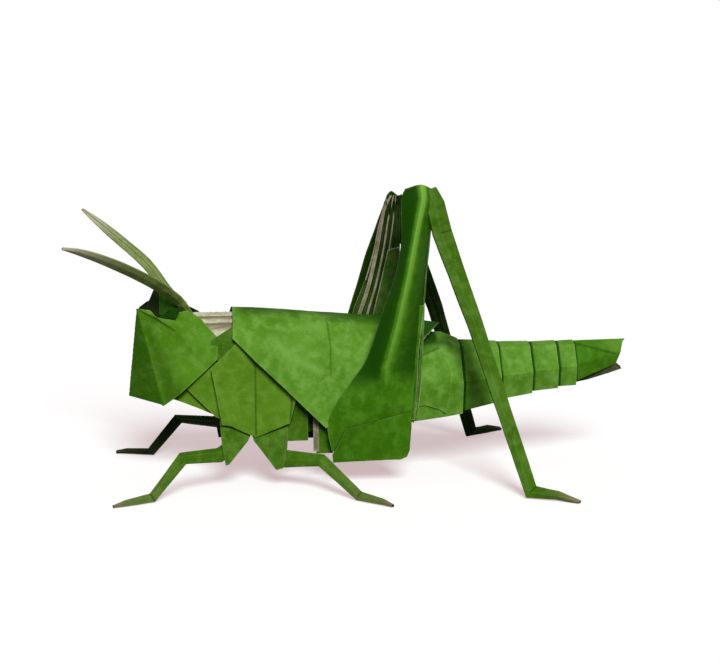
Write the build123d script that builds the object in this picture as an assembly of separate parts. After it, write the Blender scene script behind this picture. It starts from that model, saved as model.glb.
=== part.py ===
from build123d import *
import os
import numpy as np

# Locust nymph folded from one sheet of paper, in millimetres, standing on z = 0.
# The head points to -X, the tail to +X, and the near side of each pair of legs is -Y.
# x = 0 is the front edge of the saddle until the finished model is centred.

# Paper
PAPER = 0.4              # one folded layer, as thick as its edges look
THIGH_PAPER = 0.7        # the doubled outer layer of a hind thigh
WEB_THICK = 1.2          # layers pressed together between the antennae

# Body, from the lowest fold of the thorax to the ridge
RIDE_HEIGHT = 12.8       # ground to the lowest fold of the thorax
BODY_LENGTH = 52.0       # saddle, front edge to the rear end of the wing pads
BODY_HALF_WIDTH = 12.5
BODY_HEIGHT = 30.3

# Head, a hood with its top level with the saddle
NECK_LENGTH = 4.0        # gap between the head and the saddle at the side
HEAD_LENGTH = 21.7
HEAD_HALF_WIDTH = 9.0
HEAD_HEIGHT = 23.4

# Antennae, near and far: forward, outward and upward from the crown
ANTENNA_REACH = (29.3, 24.9)
ANTENNA_SPREAD = (13.0, 13.0)
ANTENNA_RISE = (17.3, 22.8)
ANTENNA_WIDTH = (3.3, 2.7)
ANTENNA_THICK = 0.9

# Abdomen, behind the wing pads
ABDOMEN_LENGTH = 48.1
ABDOMEN_HALF_WIDTH = 9.5
ABDOMEN_HEIGHT = 19.6
PLEAT_STEP = 0.45        # how far a segment's rear edge stands proud
PLEAT_LAP = 0.5          # length of that step

# Walking legs, near and far: hip to toe
FORE_REACH = (28.8, 27.6)
FORE_SPREAD = (14.3, 14.8)
MID_REACH = (22.0, 22.6)
MID_SPREAD = (22.1, 21.4)
LEG_WIDTH = 2.8
LEG_THICK = 1.4
COXA_THICK = 1.3

# Hind legs, near and far
KNEE_HEIGHT = (73.6, 70.1)
HIND_SHIFT = (0.0, -4.0)     # the far leg stands a little further forward
THIGH_WIDTH = 20.0
THIGH_BULGE = 7.0
KNEE_PINCH_SHARE = (0.0, 0.5)    # how much narrower the far thigh is at the knee
STACK_DEPTH = 1.9            # pleats pressed behind the thigh's outer layer
SHIN_REACH = (27.4, 29.2)
SHIN_SPREAD = (21.0, 20.9)
HIND_FOOT_REACH = (10.3, 9.6)
HIND_FOOT_SPREAD = (6.4, 7.0)
SHIN_WIDTH = 3.5
SHIN_THICK = 1.7

RIDGE_HEIGHT = RIDE_HEIGHT + BODY_HEIGHT


# Frames: each sub-part's points are shares of its own length, half width and height

def body(u, v, w):
    """A point of the body: back from the saddle's front, out to the near side, up from the belly."""
    return Vector(u * BODY_LENGTH, -v * BODY_HALF_WIDTH, RIDE_HEIGHT + w * BODY_HEIGHT)


def head(u, v, w):
    """A point of the head: forward from its rear edge, out to the near side, up from the chin."""
    bottom = RIDGE_HEIGHT - HEAD_HEIGHT
    return Vector(-NECK_LENGTH - u * HEAD_LENGTH, -v * HEAD_HALF_WIDTH, bottom + w * HEAD_HEIGHT)


def abdomen(u, v, w):
    """A point of the abdomen: back from the wing pads' end, out to the near side, up from its keel."""
    start = body(1.0, 0.0, 0.10)
    return start + Vector(u * ABDOMEN_LENGTH, -v * ABDOMEN_HALF_WIDTH, w * ABDOMEN_HEIGHT)


# Paper helpers

def closed_solid(triangles):
    """A solid bounded by flat triangles that share their edges."""
    faces = [Face(Wire.make_polygon(corners, close=True)) for corners in triangles]
    return Solid(Shell(faces))


def in_triangles(facets):
    """Fans that split facets of any number of corners."""
    return [(f[0], f[i], f[i + 1]) for f in facets for i in range(1, len(f) - 1)]


def paired(points, facets):
    """Adds the far half of a sheet that is folded alike on both sides of the midline."""
    places = dict(points)
    twin = {}
    for name, place in points.items():
        twin[name] = name
        if abs(place.Y) > 0:
            twin[name] = name + " far"
            places[twin[name]] = Vector(place.X, -place.Y, place.Z)
    return places, list(facets) + [tuple(twin[n] for n in reversed(f)) for f in facets]


def inner_corners(places, triangles, thickness):
    """Each corner of a sheet, moved in so that every facet beside it keeps its thickness."""
    normals = {}
    for a, b, c in triangles:
        normal = (places[b] - places[a]).cross(places[c] - places[a]).normalized()
        for name in (a, b, c):
            normals.setdefault(name, []).append(tuple(normal))
    inner = {}
    for name, around in normals.items():
        offsets = np.full(len(around), thickness)
        inward = np.linalg.lstsq(np.array(around), offsets, rcond=0.25)[0]
        inner[name] = places[name] - Vector(*(float(n) for n in inward))
    return inner


def folded(points, facets, thickness=PAPER):
    """One sheet folded along its facets' edges: outer face, inner face and the cut rim."""
    triangles = in_triangles(facets)
    inner = inner_corners(points, triangles, thickness)
    sides = {(t[i], t[(i + 1) % 3]) for t in triangles for i in range(3)}
    rim = [side for side in sides if (side[1], side[0]) not in sides]
    skin = [tuple(points[n] for n in t) for t in triangles]
    skin += [tuple(inner[n] for n in reversed(t)) for t in triangles]
    for a, b in sorted(rim):
        skin += [(points[b], points[a], inner[a]), (points[b], inner[a], inner[b])]
    return closed_solid(skin)


def rows_of_points(name, rows):
    """Names for a grid of points, row by row, and the facets between the rows."""
    points = {f"{name} {i} {j}": p for i, row in enumerate(rows) for j, p in enumerate(row)}
    facets = []
    for i in range(len(rows) - 1):
        for j in range(len(rows[i]) - 1):
            facets.append(tuple(f"{name} {r} {c}" for r, c in
                                ((i, j), (i, j + 1), (i + 1, j + 1), (i + 1, j))))
    return points, facets


def pressed(rings):
    """A solid stack of layers: rings of points, one at each station, joined by flat facets."""
    skin = []
    for lower, upper in zip(rings, rings[1:]):
        for i in range(len(lower)):
            skin.append((lower[i - 1], lower[i], upper[i]))
            skin.append((lower[i - 1], upper[i], upper[i - 1]))
    for ring, turn in ((rings[0], -1), (rings[-1], 1)):
        middle = sum(ring, Vector(0, 0, 0)) / len(ring)
        for i in range(len(ring)):
            skin.append((middle, ring[i - 1], ring[i])[::turn])
    return closed_solid(skin)


# Section of a pressed strip: half widths across and thicknesses outward
STRIP_SHARES = ((-1.0, -0.2), (-1.0, 0.2), (0.2, 0.5), (1.0, 0.2),
                (1.0, -0.2), (0.4, -0.5), (0.0, -0.15), (-0.4, -0.5))


def strip(path, widths, thick, outward):
    """A pressed strip along a path, ridged outside and grooved inside where raw edges meet."""
    rings = []
    for i, point in enumerate(path):
        before = (path[max(i, 1)] - path[max(i, 1) - 1]).normalized()
        last = min(i, len(path) - 2)
        after = (path[last + 1] - path[last]).normalized()
        along = (before + after).normalized()
        out = (outward - along * outward.dot(along)).normalized()
        across = along.cross(out)
        half = widths[i] / 2 / max(along.dot(after), 0.6)
        rings.append([point + across * (a * half) + out * (d * thick) for a, d in STRIP_SHARES])
    return pressed(rings)


def to_side(solid, side):
    """The near-side solid for side 0, and its mirror image for side 1."""
    return solid if side == 0 else mirror(solid, about=Plane.XZ)


# Saddle: pronotum and wing pads draped over the body

# Ridge, shoulder and lower edge at each station
SADDLE_SHARES = (
    ((0.000, 0, 1.000), (-0.002, 0.22, 0.985), (-0.012, 0.80, 0.795)),
    ((0.142, 0, 0.987), (0.120, 0.28, 0.965), (0.089, 1.02, 0.623)),
    ((0.270, 0, 0.967), (0.250, 0.36, 0.930), (0.197, 1.08, 0.442)),
    ((0.400, 0, 0.943), (0.385, 0.42, 0.900), (0.308, 1.12, 0.251)),
    ((0.540, 0, 0.925), (0.480, 0.44, 0.890), (0.415, 1.14, 0.067)),
    ((0.725, 0, 0.904), (0.700, 0.38, 0.860), (0.640, 0.96, 0.360)),
    ((1.000, 0, 0.826), (0.960, 0.28, 0.800), (0.894, 0.56, 0.730)),
)
# The side's belly, as shares of the way from shoulder to lower edge
BELLY_SHARES = (0.50, 0.66, 0.45)


def saddle():
    rows = []
    for ridge, shoulder, edge in SADDLE_SHARES:
        belly = [a + (b - a) * share for a, b, share in zip(shoulder, edge, BELLY_SHARES)]
        rows.append([body(*shares) for shares in (ridge, shoulder, belly, edge)])
    return folded(*paired(*rows_of_points("saddle", rows)))


# Thorax: a creased panel on each side, pointed below, with its underside folded in

THORAX_SHARES = {
    "neck": (-0.114, 0.66, 0.552),
    "throat": (-0.069, 0.88, 0.096),
    "fore hip": (-0.028, 0.95, 0.085),
    "point": (0.088, 1.00, 0.000),
    "mid hip": (0.248, 1.00, 0.106),
    "rear": (0.277, 1.00, 0.303),
    "rear top": (0.280, 0.85, 0.664),
    "crease top": (0.090, 0.86, 0.729),
    "apex": (0.005, 0.66, 0.751),
    "front top": (0.020, 0.60, 0.873),
    "front keel": (-0.069, 0.00, 0.120),
    "point keel": (0.088, 0.00, 0.040),
    "rear keel": (0.248, 0.00, 0.100),
}
THORAX_FACETS = (
    ("neck", "throat", "fore hip", "apex"),
    ("apex", "fore hip", "point", "crease top"),
    ("apex", "crease top", "front top"),
    ("crease top", "point", "mid hip", "rear", "rear top"),
    ("throat", "front keel", "point keel", "point", "fore hip"),
    ("point", "point keel", "rear keel", "mid hip"),
)


def thorax():
    points = {name: body(*shares) for name, shares in THORAX_SHARES.items()}
    return folded(*paired(points, THORAX_FACETS))


# Flank and abdomen: one folded tube that telescopes towards the tail

FLANK_SHARES = (
    ((0.200, 0.80, 0.742), (0.200, 0.80, 0.350), (0.225, 0.80, -0.055), (0.225, 0, 0.000)),
    ((0.357, 0.80, 0.653), (0.357, 0.82, 0.350), (0.357, 0.80, -0.053), (0.357, 0, 0.000)),
    ((0.560, 0.78, 0.607), (0.560, 0.82, 0.330), (0.560, 0.74, 0.000), (0.560, 0, 0.050)),
)
# Stations of the abdomen: place along it, half width, height of its ridge and of its keel
ABDOMEN_SHARES = (
    (-0.245, 0.98, 1.03, -0.10),
    (0.010, 1.00, 1.00, -0.03),
    (0.129, 0.93, 0.89, 0.02),
    (0.322, 0.80, 0.86, 0.15),
    (0.499, 0.68, 0.845, 0.235),
    (0.640, 0.58, 0.845, 0.28),
    (0.738, 0.52, 0.845, 0.31),
)
PROUD_FROM = 2           # the first station with a pleat behind it
# Section: out from the midline and up from the keel
SECTION_SHARES = ((0.0, 1.0), (0.42, 0.93), (1.0, 0.45), (0.78, 0.0), (0.0, 0.06))
TAIL_SHARES = ((1.0, 0.0, 0.847), (0.985, 0.09, 0.800), (0.975, 0.13, 0.680),
               (0.952, 0.10, 0.541), (0.948, 0.0, 0.545))

TAIL_FLAP_SHARES = ((0.735, 0.34), (0.737, 0.252), (0.800, 0.262), (0.920, 0.395),
                    (0.988, 0.455), (0.955, 0.50), (0.930, 0.56))


def abdomen_ring(u, half, ridge, keel, proud):
    """One ring of the abdomen, let out or taken in by a part of the pleat's step."""
    ring = []
    for v, w in SECTION_SHARES:
        place = abdomen(u, half * v, keel + (ridge - keel) * w)
        ring.append(place + Vector(0, -proud * v, proud * (w - 0.5)))
    return ring


def abdomen_rings():
    rings = []
    for i, shares in enumerate(ABDOMEN_SHARES):
        if i < PROUD_FROM:
            rings.append(abdomen_ring(*shares, proud=0))
            continue
        rings.append(abdomen_ring(*shares, proud=PLEAT_STEP))
        lapped = [p + Vector(PLEAT_LAP, 0, 0) for p in abdomen_ring(*shares, proud=-PLEAT_STEP)]
        rings.append(lapped)
    rings.append([abdomen(*shares) for shares in TAIL_SHARES])
    return rings


def trunk():
    """Flank and abdomen in one sheet: the flank's upper edge ends under the saddle."""
    rings = abdomen_rings()
    points, facets = rows_of_points("ring", rings)
    flank_rows = [[body(*shares) for shares in row] for row in FLANK_SHARES]
    flank_rows.append(rings[0][1:])
    flank_points, flank_facets = rows_of_points("flank", flank_rows)
    last = len(flank_rows) - 1
    shared = {f"flank {last} {j}": f"ring 0 {j + 1}" for j in range(len(flank_rows[last]))}
    points.update({name: p for name, p in flank_points.items() if name not in shared})
    facets += [tuple(shared.get(name, name) for name in facet) for facet in flank_facets]
    return folded(*paired(points, facets))


# Head: a hood of creased cheeks, with a web of layers between the antennae

HEAD_SHARES = {
    "brow": (0.900, 0.00, 1.000),
    "chin front": (1.012, 0.00, 0.060),
    "chin": (0.627, 0.667, 0.000),
    "mouth": (0.600, 0.00, 0.060),
    "jaw": (0.433, 0.80, 0.145),
    "cheek low": (0.122, 1.00, 0.417),
    "cheek rear": (0.020, 1.02, 0.510),
    "fold front": (0.585, 0.62, 0.790),
    "fold rear": (0.250, 0.94, 0.650),
    "nape low": (0.000, 0.86, 0.720),
    "nape high": (0.193, 0.60, 0.926),
    "crown": (0.334, 0.48, 1.000),
    "notch": (0.693, 0.33, 0.891),
}
HEAD_FACETS = (
    ("brow", "chin front", "chin"),
    ("brow", "chin", "jaw"),
    ("brow", "jaw", "fold front"),
    ("fold front", "jaw", "cheek low"),
    ("fold front", "cheek low", "cheek rear", "fold rear"),
    ("brow", "fold front", "notch"),
    ("fold front", "fold rear", "crown", "notch"),
    ("fold rear", "nape high", "crown"),
    ("fold rear", "cheek rear", "nape low", "nape high"),
    ("chin front", "mouth", "chin"),
)
WEB_SHARES = ((0.870, 0.93), (0.868, 1.00), (0.785, 1.005), (0.690, 1.155), (0.480, 1.10),
              (0.330, 1.05), (0.280, 0.86), (0.740, 0.80))


def tail_flap():
    """The sheet's inner layer, which shows as a small point under the tail."""
    outline = [abdomen(u, 0, w) for u, w in TAIL_FLAP_SHARES]
    plate = Face(Wire.make_polygon(outline, close=True))
    return extrude(plate, amount=WEB_THICK / 2, both=True)


def hood():
    points = {name: head(*shares) for name, shares in HEAD_SHARES.items()}
    return folded(*paired(points, HEAD_FACETS))


def web():
    outline = [head(u, 0, w) for u, w in WEB_SHARES]
    plate = Face(Wire.make_polygon(outline, close=True))
    return extrude(plate, amount=WEB_THICK / 2, both=True)


# Antennae: curved strips from the crown

ANTENNA_PATH_SHARES = (
    ((-0.07, -0.10, -0.22), (0.05, 0.02, 0.10), (0.17, 0.18, 0.28), (0.33, 0.40, 0.48),
     (0.60, 0.68, 0.74), (0.84, 0.88, 0.92), (1.0, 1.0, 1.0)),
    ((-0.08, -0.10, -0.18), (0.04, 0.02, 0.01), (0.18, 0.15, 0.16), (0.38, 0.38, 0.44),
     (0.69, 0.69, 0.73), (0.87, 0.87, 0.89), (1.0, 1.0, 1.0)),
)
ANTENNA_WIDTH_SHARES = (0.55, 0.75, 1.00, 1.10, 1.00, 0.72, 0.25)
ANTENNA_OUT_SHARES = (0.35, 0.8, -0.45)


def antenna(side):
    root = head(*HEAD_SHARES["crown"]) + Vector(0, HEAD_HALF_WIDTH * 0.15, 0)
    path = [root + Vector(-u * ANTENNA_REACH[side], -v * ANTENNA_SPREAD[side], w * ANTENNA_RISE[side])
            for u, v, w in ANTENNA_PATH_SHARES[side]]
    widths = [share * ANTENNA_WIDTH[side] for share in ANTENNA_WIDTH_SHARES]
    x, y, z = ANTENNA_OUT_SHARES
    return to_side(strip(path, widths, ANTENNA_THICK, Vector(-x, -y, z)), side)


# Neck: a roof of three lengthwise pleats, a side flap and a throat panel

NECK_FRONT_SHARES = ((0.36, 0.00, 0.950), (0.36, 0.20, 0.930), (0.36, 0.19, 0.900),
                     (0.36, 0.38, 0.865), (0.36, 0.37, 0.830), (0.34, 0.60, 0.760),
                     (0.30, 0.74, 0.620), (0.26, 0.80, 0.420))
NECK_REAR_SHARES = ((0.055, 0.00, 0.955), (0.054, 0.17, 0.944), (0.053, 0.18, 0.926),
                    (0.052, 0.36, 0.905), (0.050, 0.36, 0.885), (0.046, 0.60, 0.845),
                    (0.040, 0.66, 0.730), (0.020, 0.76, 0.500))
THROAT_HEAD_SHARES = ((0.62, 0.40, 0.48), (0.52, 0.62, 0.06))
THROAT_BODY_SHARES = ((-0.060, 0.66, 0.62), (-0.055, 0.88, 0.13))


def neck():
    front = [head(*shares) for shares in NECK_FRONT_SHARES]
    rear = [body(*shares) for shares in NECK_REAR_SHARES]
    return folded(*paired(*rows_of_points("neck", [front, rear])))


def throat():
    """A panel on each side, from inside the cheek to inside the thorax, joined below."""
    front = [head(*shares) for shares in THROAT_HEAD_SHARES]
    rear = [body(*shares) for shares in THROAT_BODY_SHARES]
    front.append(Vector(front[-1].X, 0, front[-1].Z))
    rear.append(Vector(rear[-1].X, 0, rear[-1].Z))
    return folded(*paired(*rows_of_points("throat", [front, rear])))


# Walking legs: a folded hip plate, and a strip with its knee, ankle and toe
# Points are shares of reach, spread and the hip's height above the ground

FORE_HIP_SHARES = (-0.028, 0.93, 0.085)
# Front and rear edge of the hip plate, from inside the thorax down to the bend
FORE_COXA_SHARES = (((0.115, -0.30, 1.55), (-0.170, -0.20, 1.40)),
                    ((0.112, 0.03, 1.00), (-0.200, 0.03, 0.93)),
                    ((0.112, 0.14, 0.72), (-0.145, 0.06, 0.76)),
                    ((0.082, 0.21, 0.41), (0.030, 0.20, 0.42)))
FORE_PATH_SHARES = (
    ((0.000, 0.12, 0.63), (0.085, 0.19, 0.57), (0.418, 0.56, 0.645),
     (0.680, 0.728, 0.075), (0.900, 0.92, 0.050), (1.0, 1.0, 0.025)),
    ((0.000, 0.12, 0.76), (0.085, 0.19, 0.70), (0.418, 0.56, 0.675),
     (0.680, 0.728, 0.075), (0.900, 0.92, 0.050), (1.0, 1.0, 0.025)),
)
MID_HIP_SHARES = (0.248, 0.98, 0.106)
MID_COXA_SHARES = (((-0.360, -0.12, 1.25), (-0.020, -0.10, 1.20)),
                   ((-0.440, 0.00, 0.92), (-0.012, 0.00, 0.95)),
                   ((-0.400, 0.02, 0.74), (-0.035, 0.06, 0.64)),
                   ((-0.165, 0.12, 0.31), (-0.085, 0.11, 0.33)))
MID_PATH_SHARES = ((-0.150, 0.07, 0.49), (-0.070, 0.10, 0.455), (0.310, 0.345, 0.520),
                   (0.680, 0.69, 0.075), (0.910, 0.90, 0.050), (1.0, 1.0, 0.025))
FORE_WIDTH_SHARES = (1.25, 1.30, 1.00, 0.80, 0.62, 0.34)
MID_WIDTH_SHARES = (1.35, 1.55, 1.08, 0.82, 0.62, 0.34)
LEG_OUT_SHARES = (0.15, 1.0, 0.35)


def hip_plate(edges):
    """A plate of pressed layers, given by its front and rear edge."""
    inward = Vector(0, COXA_THICK, 0)
    return pressed([[front, rear, rear + inward, front + inward] for front, rear in edges])


def walking_leg(side, hip_shares, reach, spread, coxa_shares, path_shares, width_shares):
    hip = body(*hip_shares)

    def place(shares):
        return Vector(hip.X + shares[0] * reach, hip.Y - shares[1] * spread, shares[2] * hip.Z)

    coxa = hip_plate([(place(front), place(rear)) for front, rear in coxa_shares])
    widths = [share * LEG_WIDTH for share in width_shares]
    x, y, z = LEG_OUT_SHARES
    outward = Vector(x * (1 if reach > 0 else -1), -y, z)
    limb = strip([place(shares) for shares in path_shares], widths, LEG_THICK, outward)
    return [to_side(coxa, side), to_side(limb, side)]


def fore_leg(side):
    return walking_leg(side, FORE_HIP_SHARES, -FORE_REACH[side], FORE_SPREAD[side],
                       FORE_COXA_SHARES, FORE_PATH_SHARES[side], FORE_WIDTH_SHARES)


def mid_leg(side):
    return walking_leg(side, MID_HIP_SHARES, MID_REACH[side], MID_SPREAD[side],
                       MID_COXA_SHARES, MID_PATH_SHARES, MID_WIDTH_SHARES)


# Hind thigh: an outer layer with a ridge, spread into a broad flap below, over a stack of pleats
# Points are shares of the thigh's width, its bulge and the knee's height

HIND_HIP_SHARES = (0.80, 0.80, 0.0)
# Front and rear edge of the plate in front of the flap, from inside the flank down, in body shares
HIND_COXA_SHARES = (((0.375, 0.86, 0.25), (0.465, 0.86, 0.25)), ((0.362, 0.87, 0.10), (0.460, 0.87, 0.10)),
                    ((0.388, 0.87, -0.150), (0.458, 0.87, -0.150)))
KNEE_CENTRE_SHARE = 0.18
PINCH_FROM_SHARE = 0.7       # the height from which the pinch grows
THIGH_EDGE_SHARES = (
    ((0.000, -0.10, 0.985), (0.200, 0.00, 1.000), (0.350, -0.10, 0.992)),
    ((-0.045, -0.14, 0.945), (0.190, 0.15, 0.955), (0.360, -0.10, 0.945)),
    ((-0.050, 0.00, 0.815), (0.050, 0.36, 0.818), (0.325, -0.10, 0.820)),
    ((-0.135, 0.14, 0.700), (-0.030, 0.50, 0.715), (0.280, 0.00, 0.720)),
    ((-0.310, 0.29, 0.572), (-0.165, 0.71, 0.552), (0.240, 0.14, 0.607)),
    ((-0.490, 0.43, 0.435), (-0.300, 1.00, 0.408), (0.190, 0.43, 0.474)),
)
# How much further forward the far thigh's front edge stands at each station
FAR_EDGE_SHARES = (-0.03, -0.02, 0.09, 0.08, 0.03, 0.02)
FLAP_SHARES = {
    "left upper": (-0.655, 0.57, 0.371),
    "middle": (-0.300, 1.06, 0.340),
    "right upper": (0.160, 0.46, 0.330),
    "left lower": (-0.860, 0.71, 0.299),
    "left edge": (-0.990, 0.60, 0.215),
    "fold left": (-0.775, 1.00, 0.209),
    "fold right": (0.030, 0.88, 0.256),
    "hem front": (-0.935, 0.45, 0.102),
    "hem left": (-0.920, 0.66, 0.084),
    "hem right": (-0.105, 0.86, 0.091),
    "corner low": (-0.010, 0.80, 0.100),
    "corner": (0.026, 0.75, 0.122),
    "right edge": (0.042, 0.70, 0.202),
    "hem left inside": (-0.880, -0.10, 0.095),
    "hem right inside": (-0.105, -0.05, 0.098),
}
FLAP_FACETS = (
    ("thigh 5 0", "left upper", "middle", "thigh 5 1"),
    ("thigh 5 1", "middle", "right upper", "thigh 5 2"),
    ("left upper", "left lower", "fold left", "middle"),
    ("middle", "fold left", "fold right", "right upper"),
    ("left lower", "left edge", "fold left"),
    ("left edge", "hem front", "hem left", "fold left"),
    ("fold left", "hem left", "hem right", "fold right"),
    ("fold right", "hem right", "corner low", "corner", "right edge"),
    ("hem left", "hem left inside", "hem right inside", "hem right"),
)
# The stack: left edge, ridge and right edge, and how deep its pleats are
STACK_SHARES = (
    ((0.085, -0.08, 0.985), (0.190, -0.04, 0.992), (0.295, -0.08, 0.982), 0.7),
    ((0.000, -0.12, 0.960), (0.180, 0.09, 0.960), (0.370, -0.11, 0.950), 1.0),
    ((-0.030, 0.00, 0.815), (0.050, 0.30, 0.815), (0.310, -0.10, 0.815), 1.0),
    ((-0.115, 0.13, 0.700), (-0.030, 0.44, 0.710), (0.268, 0.00, 0.710), 1.1),
    ((-0.285, 0.28, 0.570), (-0.165, 0.63, 0.550), (0.228, 0.13, 0.590), 1.4),
    ((-0.380, 0.45, 0.440), (-0.250, 0.80, 0.415), (0.180, 0.41, 0.450), 2.3),
    ((-0.170, 0.52, 0.330), (-0.070, 0.75, 0.330), (0.150, 0.43, 0.330), 2.6),
    ((-0.060, 0.48, 0.265), (0.020, 0.62, 0.265), (0.130, 0.43, 0.265), 2.6),
    ((0.000, 0.42, 0.205), (0.040, 0.52, 0.205), (0.100, 0.40, 0.205), 2.3),
)
# Pleats across the inner side, from the right edge to the left: place across, and depth
PLEAT_SHARES = ((0.12, 0.85), (0.25, 0.30), (0.38, 0.95), (0.50, 0.40), (0.63, 1.00),
                (0.76, 0.30), (0.89, 0.80))


def thigh_place(side):
    """A function from shares to a point of one hind thigh, on the near side."""
    hip = body(*HIND_HIP_SHARES)

    def place(shares):
        u, v, w = shares
        pinch = KNEE_PINCH_SHARE[side] * max(0, w - PINCH_FROM_SHARE) / (1 - PINCH_FROM_SHARE)
        u += (KNEE_CENTRE_SHARE - u) * pinch
        return Vector(hip.X + HIND_SHIFT[side] + u * THIGH_WIDTH,
                      hip.Y - v * THIGH_BULGE, w * KNEE_HEIGHT[side])
    return place


def thigh_layer(side):
    place = thigh_place(side)
    rows = [[place(shares) for shares in row] for row in THIGH_EDGE_SHARES]
    for row, forward in zip(rows, FAR_EDGE_SHARES):
        row[0] -= Vector(forward * side * THIGH_WIDTH, 0, 0)
    points, facets = rows_of_points("thigh", rows)
    facets = [(f[0], f[3], f[2], f[1]) for f in facets]
    points.update({name: place(shares) for name, shares in FLAP_SHARES.items()})
    return folded(points, facets + list(FLAP_FACETS), THIGH_PAPER)


def thigh_stack(side):
    place = thigh_place(side)
    rings = []
    for left, ridge, right, depth in STACK_SHARES:
        left, ridge, right = place(left), place(ridge), place(right)
        rings.append([left, ridge, right])
        for across, deep in PLEAT_SHARES:
            pleat = right + (left - right) * across
            rings[-1].append(pleat + Vector(0, deep * depth * STACK_DEPTH, 0))
    return pressed(rings)


# Hind shin: a long strip from the knee to the heel, and the foot
# Points are shares of reach, spread and the knee's height

# The shin's top turns over the knee, then runs straight down to the heel
SHIN_TOP_SHARES = ((0.335, -0.12, 0.970), (0.380, -0.10, 0.928), (0.455, -0.02, 0.838))
SHIN_BEND_SHARE = 0.35
SHIN_BOW_SHARES = (0.014, 0.040)     # of the shin's reach, near and far
HEEL_HEIGHT_SHARE = 0.021
FOOT_BOW_SHARES = (0.55, 0.50, 0.019)
TOE_HEIGHT_SHARE = 0.005
SHIN_WIDTH_SHARES = (0.95, 1.38, 1.44, 1.14, 0.90, 0.64, 0.32)
SHIN_OUT_SHARES = (0.25, 1.0, 0.10)


def shin(side):
    hip = body(*HIND_HIP_SHARES)
    reach = SHIN_REACH[side]
    spread = SHIN_SPREAD[side]
    tall = KNEE_HEIGHT[side]
    start = Vector(hip.X + HIND_SHIFT[side], hip.Y, 0)
    knee = [thigh_place(side)(shares) for shares in SHIN_TOP_SHARES]
    heel = start + Vector(reach, -spread, HEEL_HEIGHT_SHARE * tall)
    bend = knee[-1] + (heel - knee[-1]) * SHIN_BEND_SHARE + Vector(SHIN_BOW_SHARES[side] * reach, 0, 0)
    u, v, w = FOOT_BOW_SHARES
    bow = Vector(heel.X + u * HIND_FOOT_REACH[side], heel.Y - v * HIND_FOOT_SPREAD[side], w * tall)
    toe = Vector(heel.X + HIND_FOOT_REACH[side], heel.Y - HIND_FOOT_SPREAD[side], TOE_HEIGHT_SHARE * tall)
    widths = [share * SHIN_WIDTH for share in SHIN_WIDTH_SHARES]
    x, y, z = SHIN_OUT_SHARES
    return strip(knee + [bend, heel, bow, toe], widths, SHIN_THICK, Vector(x, -y, z))


def hind_leg(side):
    coxa = hip_plate([(body(*front), body(*rear)) for front, rear in HIND_COXA_SHARES])
    return [to_side(limb, side) for limb in (coxa, thigh_layer(side), thigh_stack(side), shin(side))]


def nymph():
    """The whole folded sheet, its soles pressed flat on the ground and centred over it."""
    pieces = [saddle(), thorax(), trunk(), tail_flap(), hood(), web(), neck(), throat()]
    for side in (0, 1):
        pieces += [antenna(side)] + fore_leg(side) + mid_leg(side) + hind_leg(side)
    whole = pieces[0].fuse(*pieces[1:])
    whole = split(whole, bisect_by=Plane.XY, keep=Keep.TOP)
    middle = whole.bounding_box().center()
    return whole.moved(Location((-middle.X, -middle.Y, 0)))


os.makedirs("parts", exist_ok=True)
export_step(nymph(), "parts/folded_sheet.step")
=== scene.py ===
import math
import bpy
import bmesh
import numpy as np
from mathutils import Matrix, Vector, noise


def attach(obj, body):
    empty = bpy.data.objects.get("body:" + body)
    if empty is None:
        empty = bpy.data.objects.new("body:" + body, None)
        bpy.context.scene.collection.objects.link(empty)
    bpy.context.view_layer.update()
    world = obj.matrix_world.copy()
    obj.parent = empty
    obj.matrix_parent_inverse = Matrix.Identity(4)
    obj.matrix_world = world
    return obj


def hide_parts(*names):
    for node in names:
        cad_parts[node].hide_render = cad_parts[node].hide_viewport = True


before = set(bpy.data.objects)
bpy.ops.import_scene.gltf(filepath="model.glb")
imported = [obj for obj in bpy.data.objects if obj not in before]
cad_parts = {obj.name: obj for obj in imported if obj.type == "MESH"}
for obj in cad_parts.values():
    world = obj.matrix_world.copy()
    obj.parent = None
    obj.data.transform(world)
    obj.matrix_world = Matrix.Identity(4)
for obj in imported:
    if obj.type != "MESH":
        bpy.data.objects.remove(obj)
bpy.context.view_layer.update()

# Locust nymph folded from one sheet of paper: each folded area is a thin sheet of its own here,
# laid over its neighbours as the real layers are. Lengths are in metres, as in the frame.
# The head points to -X, the tail to +X, and the near side of each pair of legs is -Y.

scene = bpy.context.scene

MM = 0.001
NODE = "folded_sheet"
BODY = "root"
ORIGIN = Vector((-29.7, -0.2, 0.0)) * MM  # floor under the middle of the saddle's front edge

# Body, head and abdomen
RIDE_HEIGHT = 12.8 * MM
BODY_LENGTH = 52.0 * MM
BODY_HALF_WIDTH = 12.5 * MM
BODY_HEIGHT = 30.3 * MM
RIDGE_HEIGHT = RIDE_HEIGHT + BODY_HEIGHT
NECK_LENGTH = 4.0 * MM
HEAD_LENGTH = 21.7 * MM
HEAD_HALF_WIDTH = 9.0 * MM
HEAD_HEIGHT = 23.4 * MM
ABDOMEN_LENGTH = 48.1 * MM
ABDOMEN_HALF_WIDTH = 9.5 * MM
ABDOMEN_HEIGHT = 19.6 * MM
PLEAT_STEP = 0.45 * MM
PLEAT_LAP = 1.4 * MM

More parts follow.
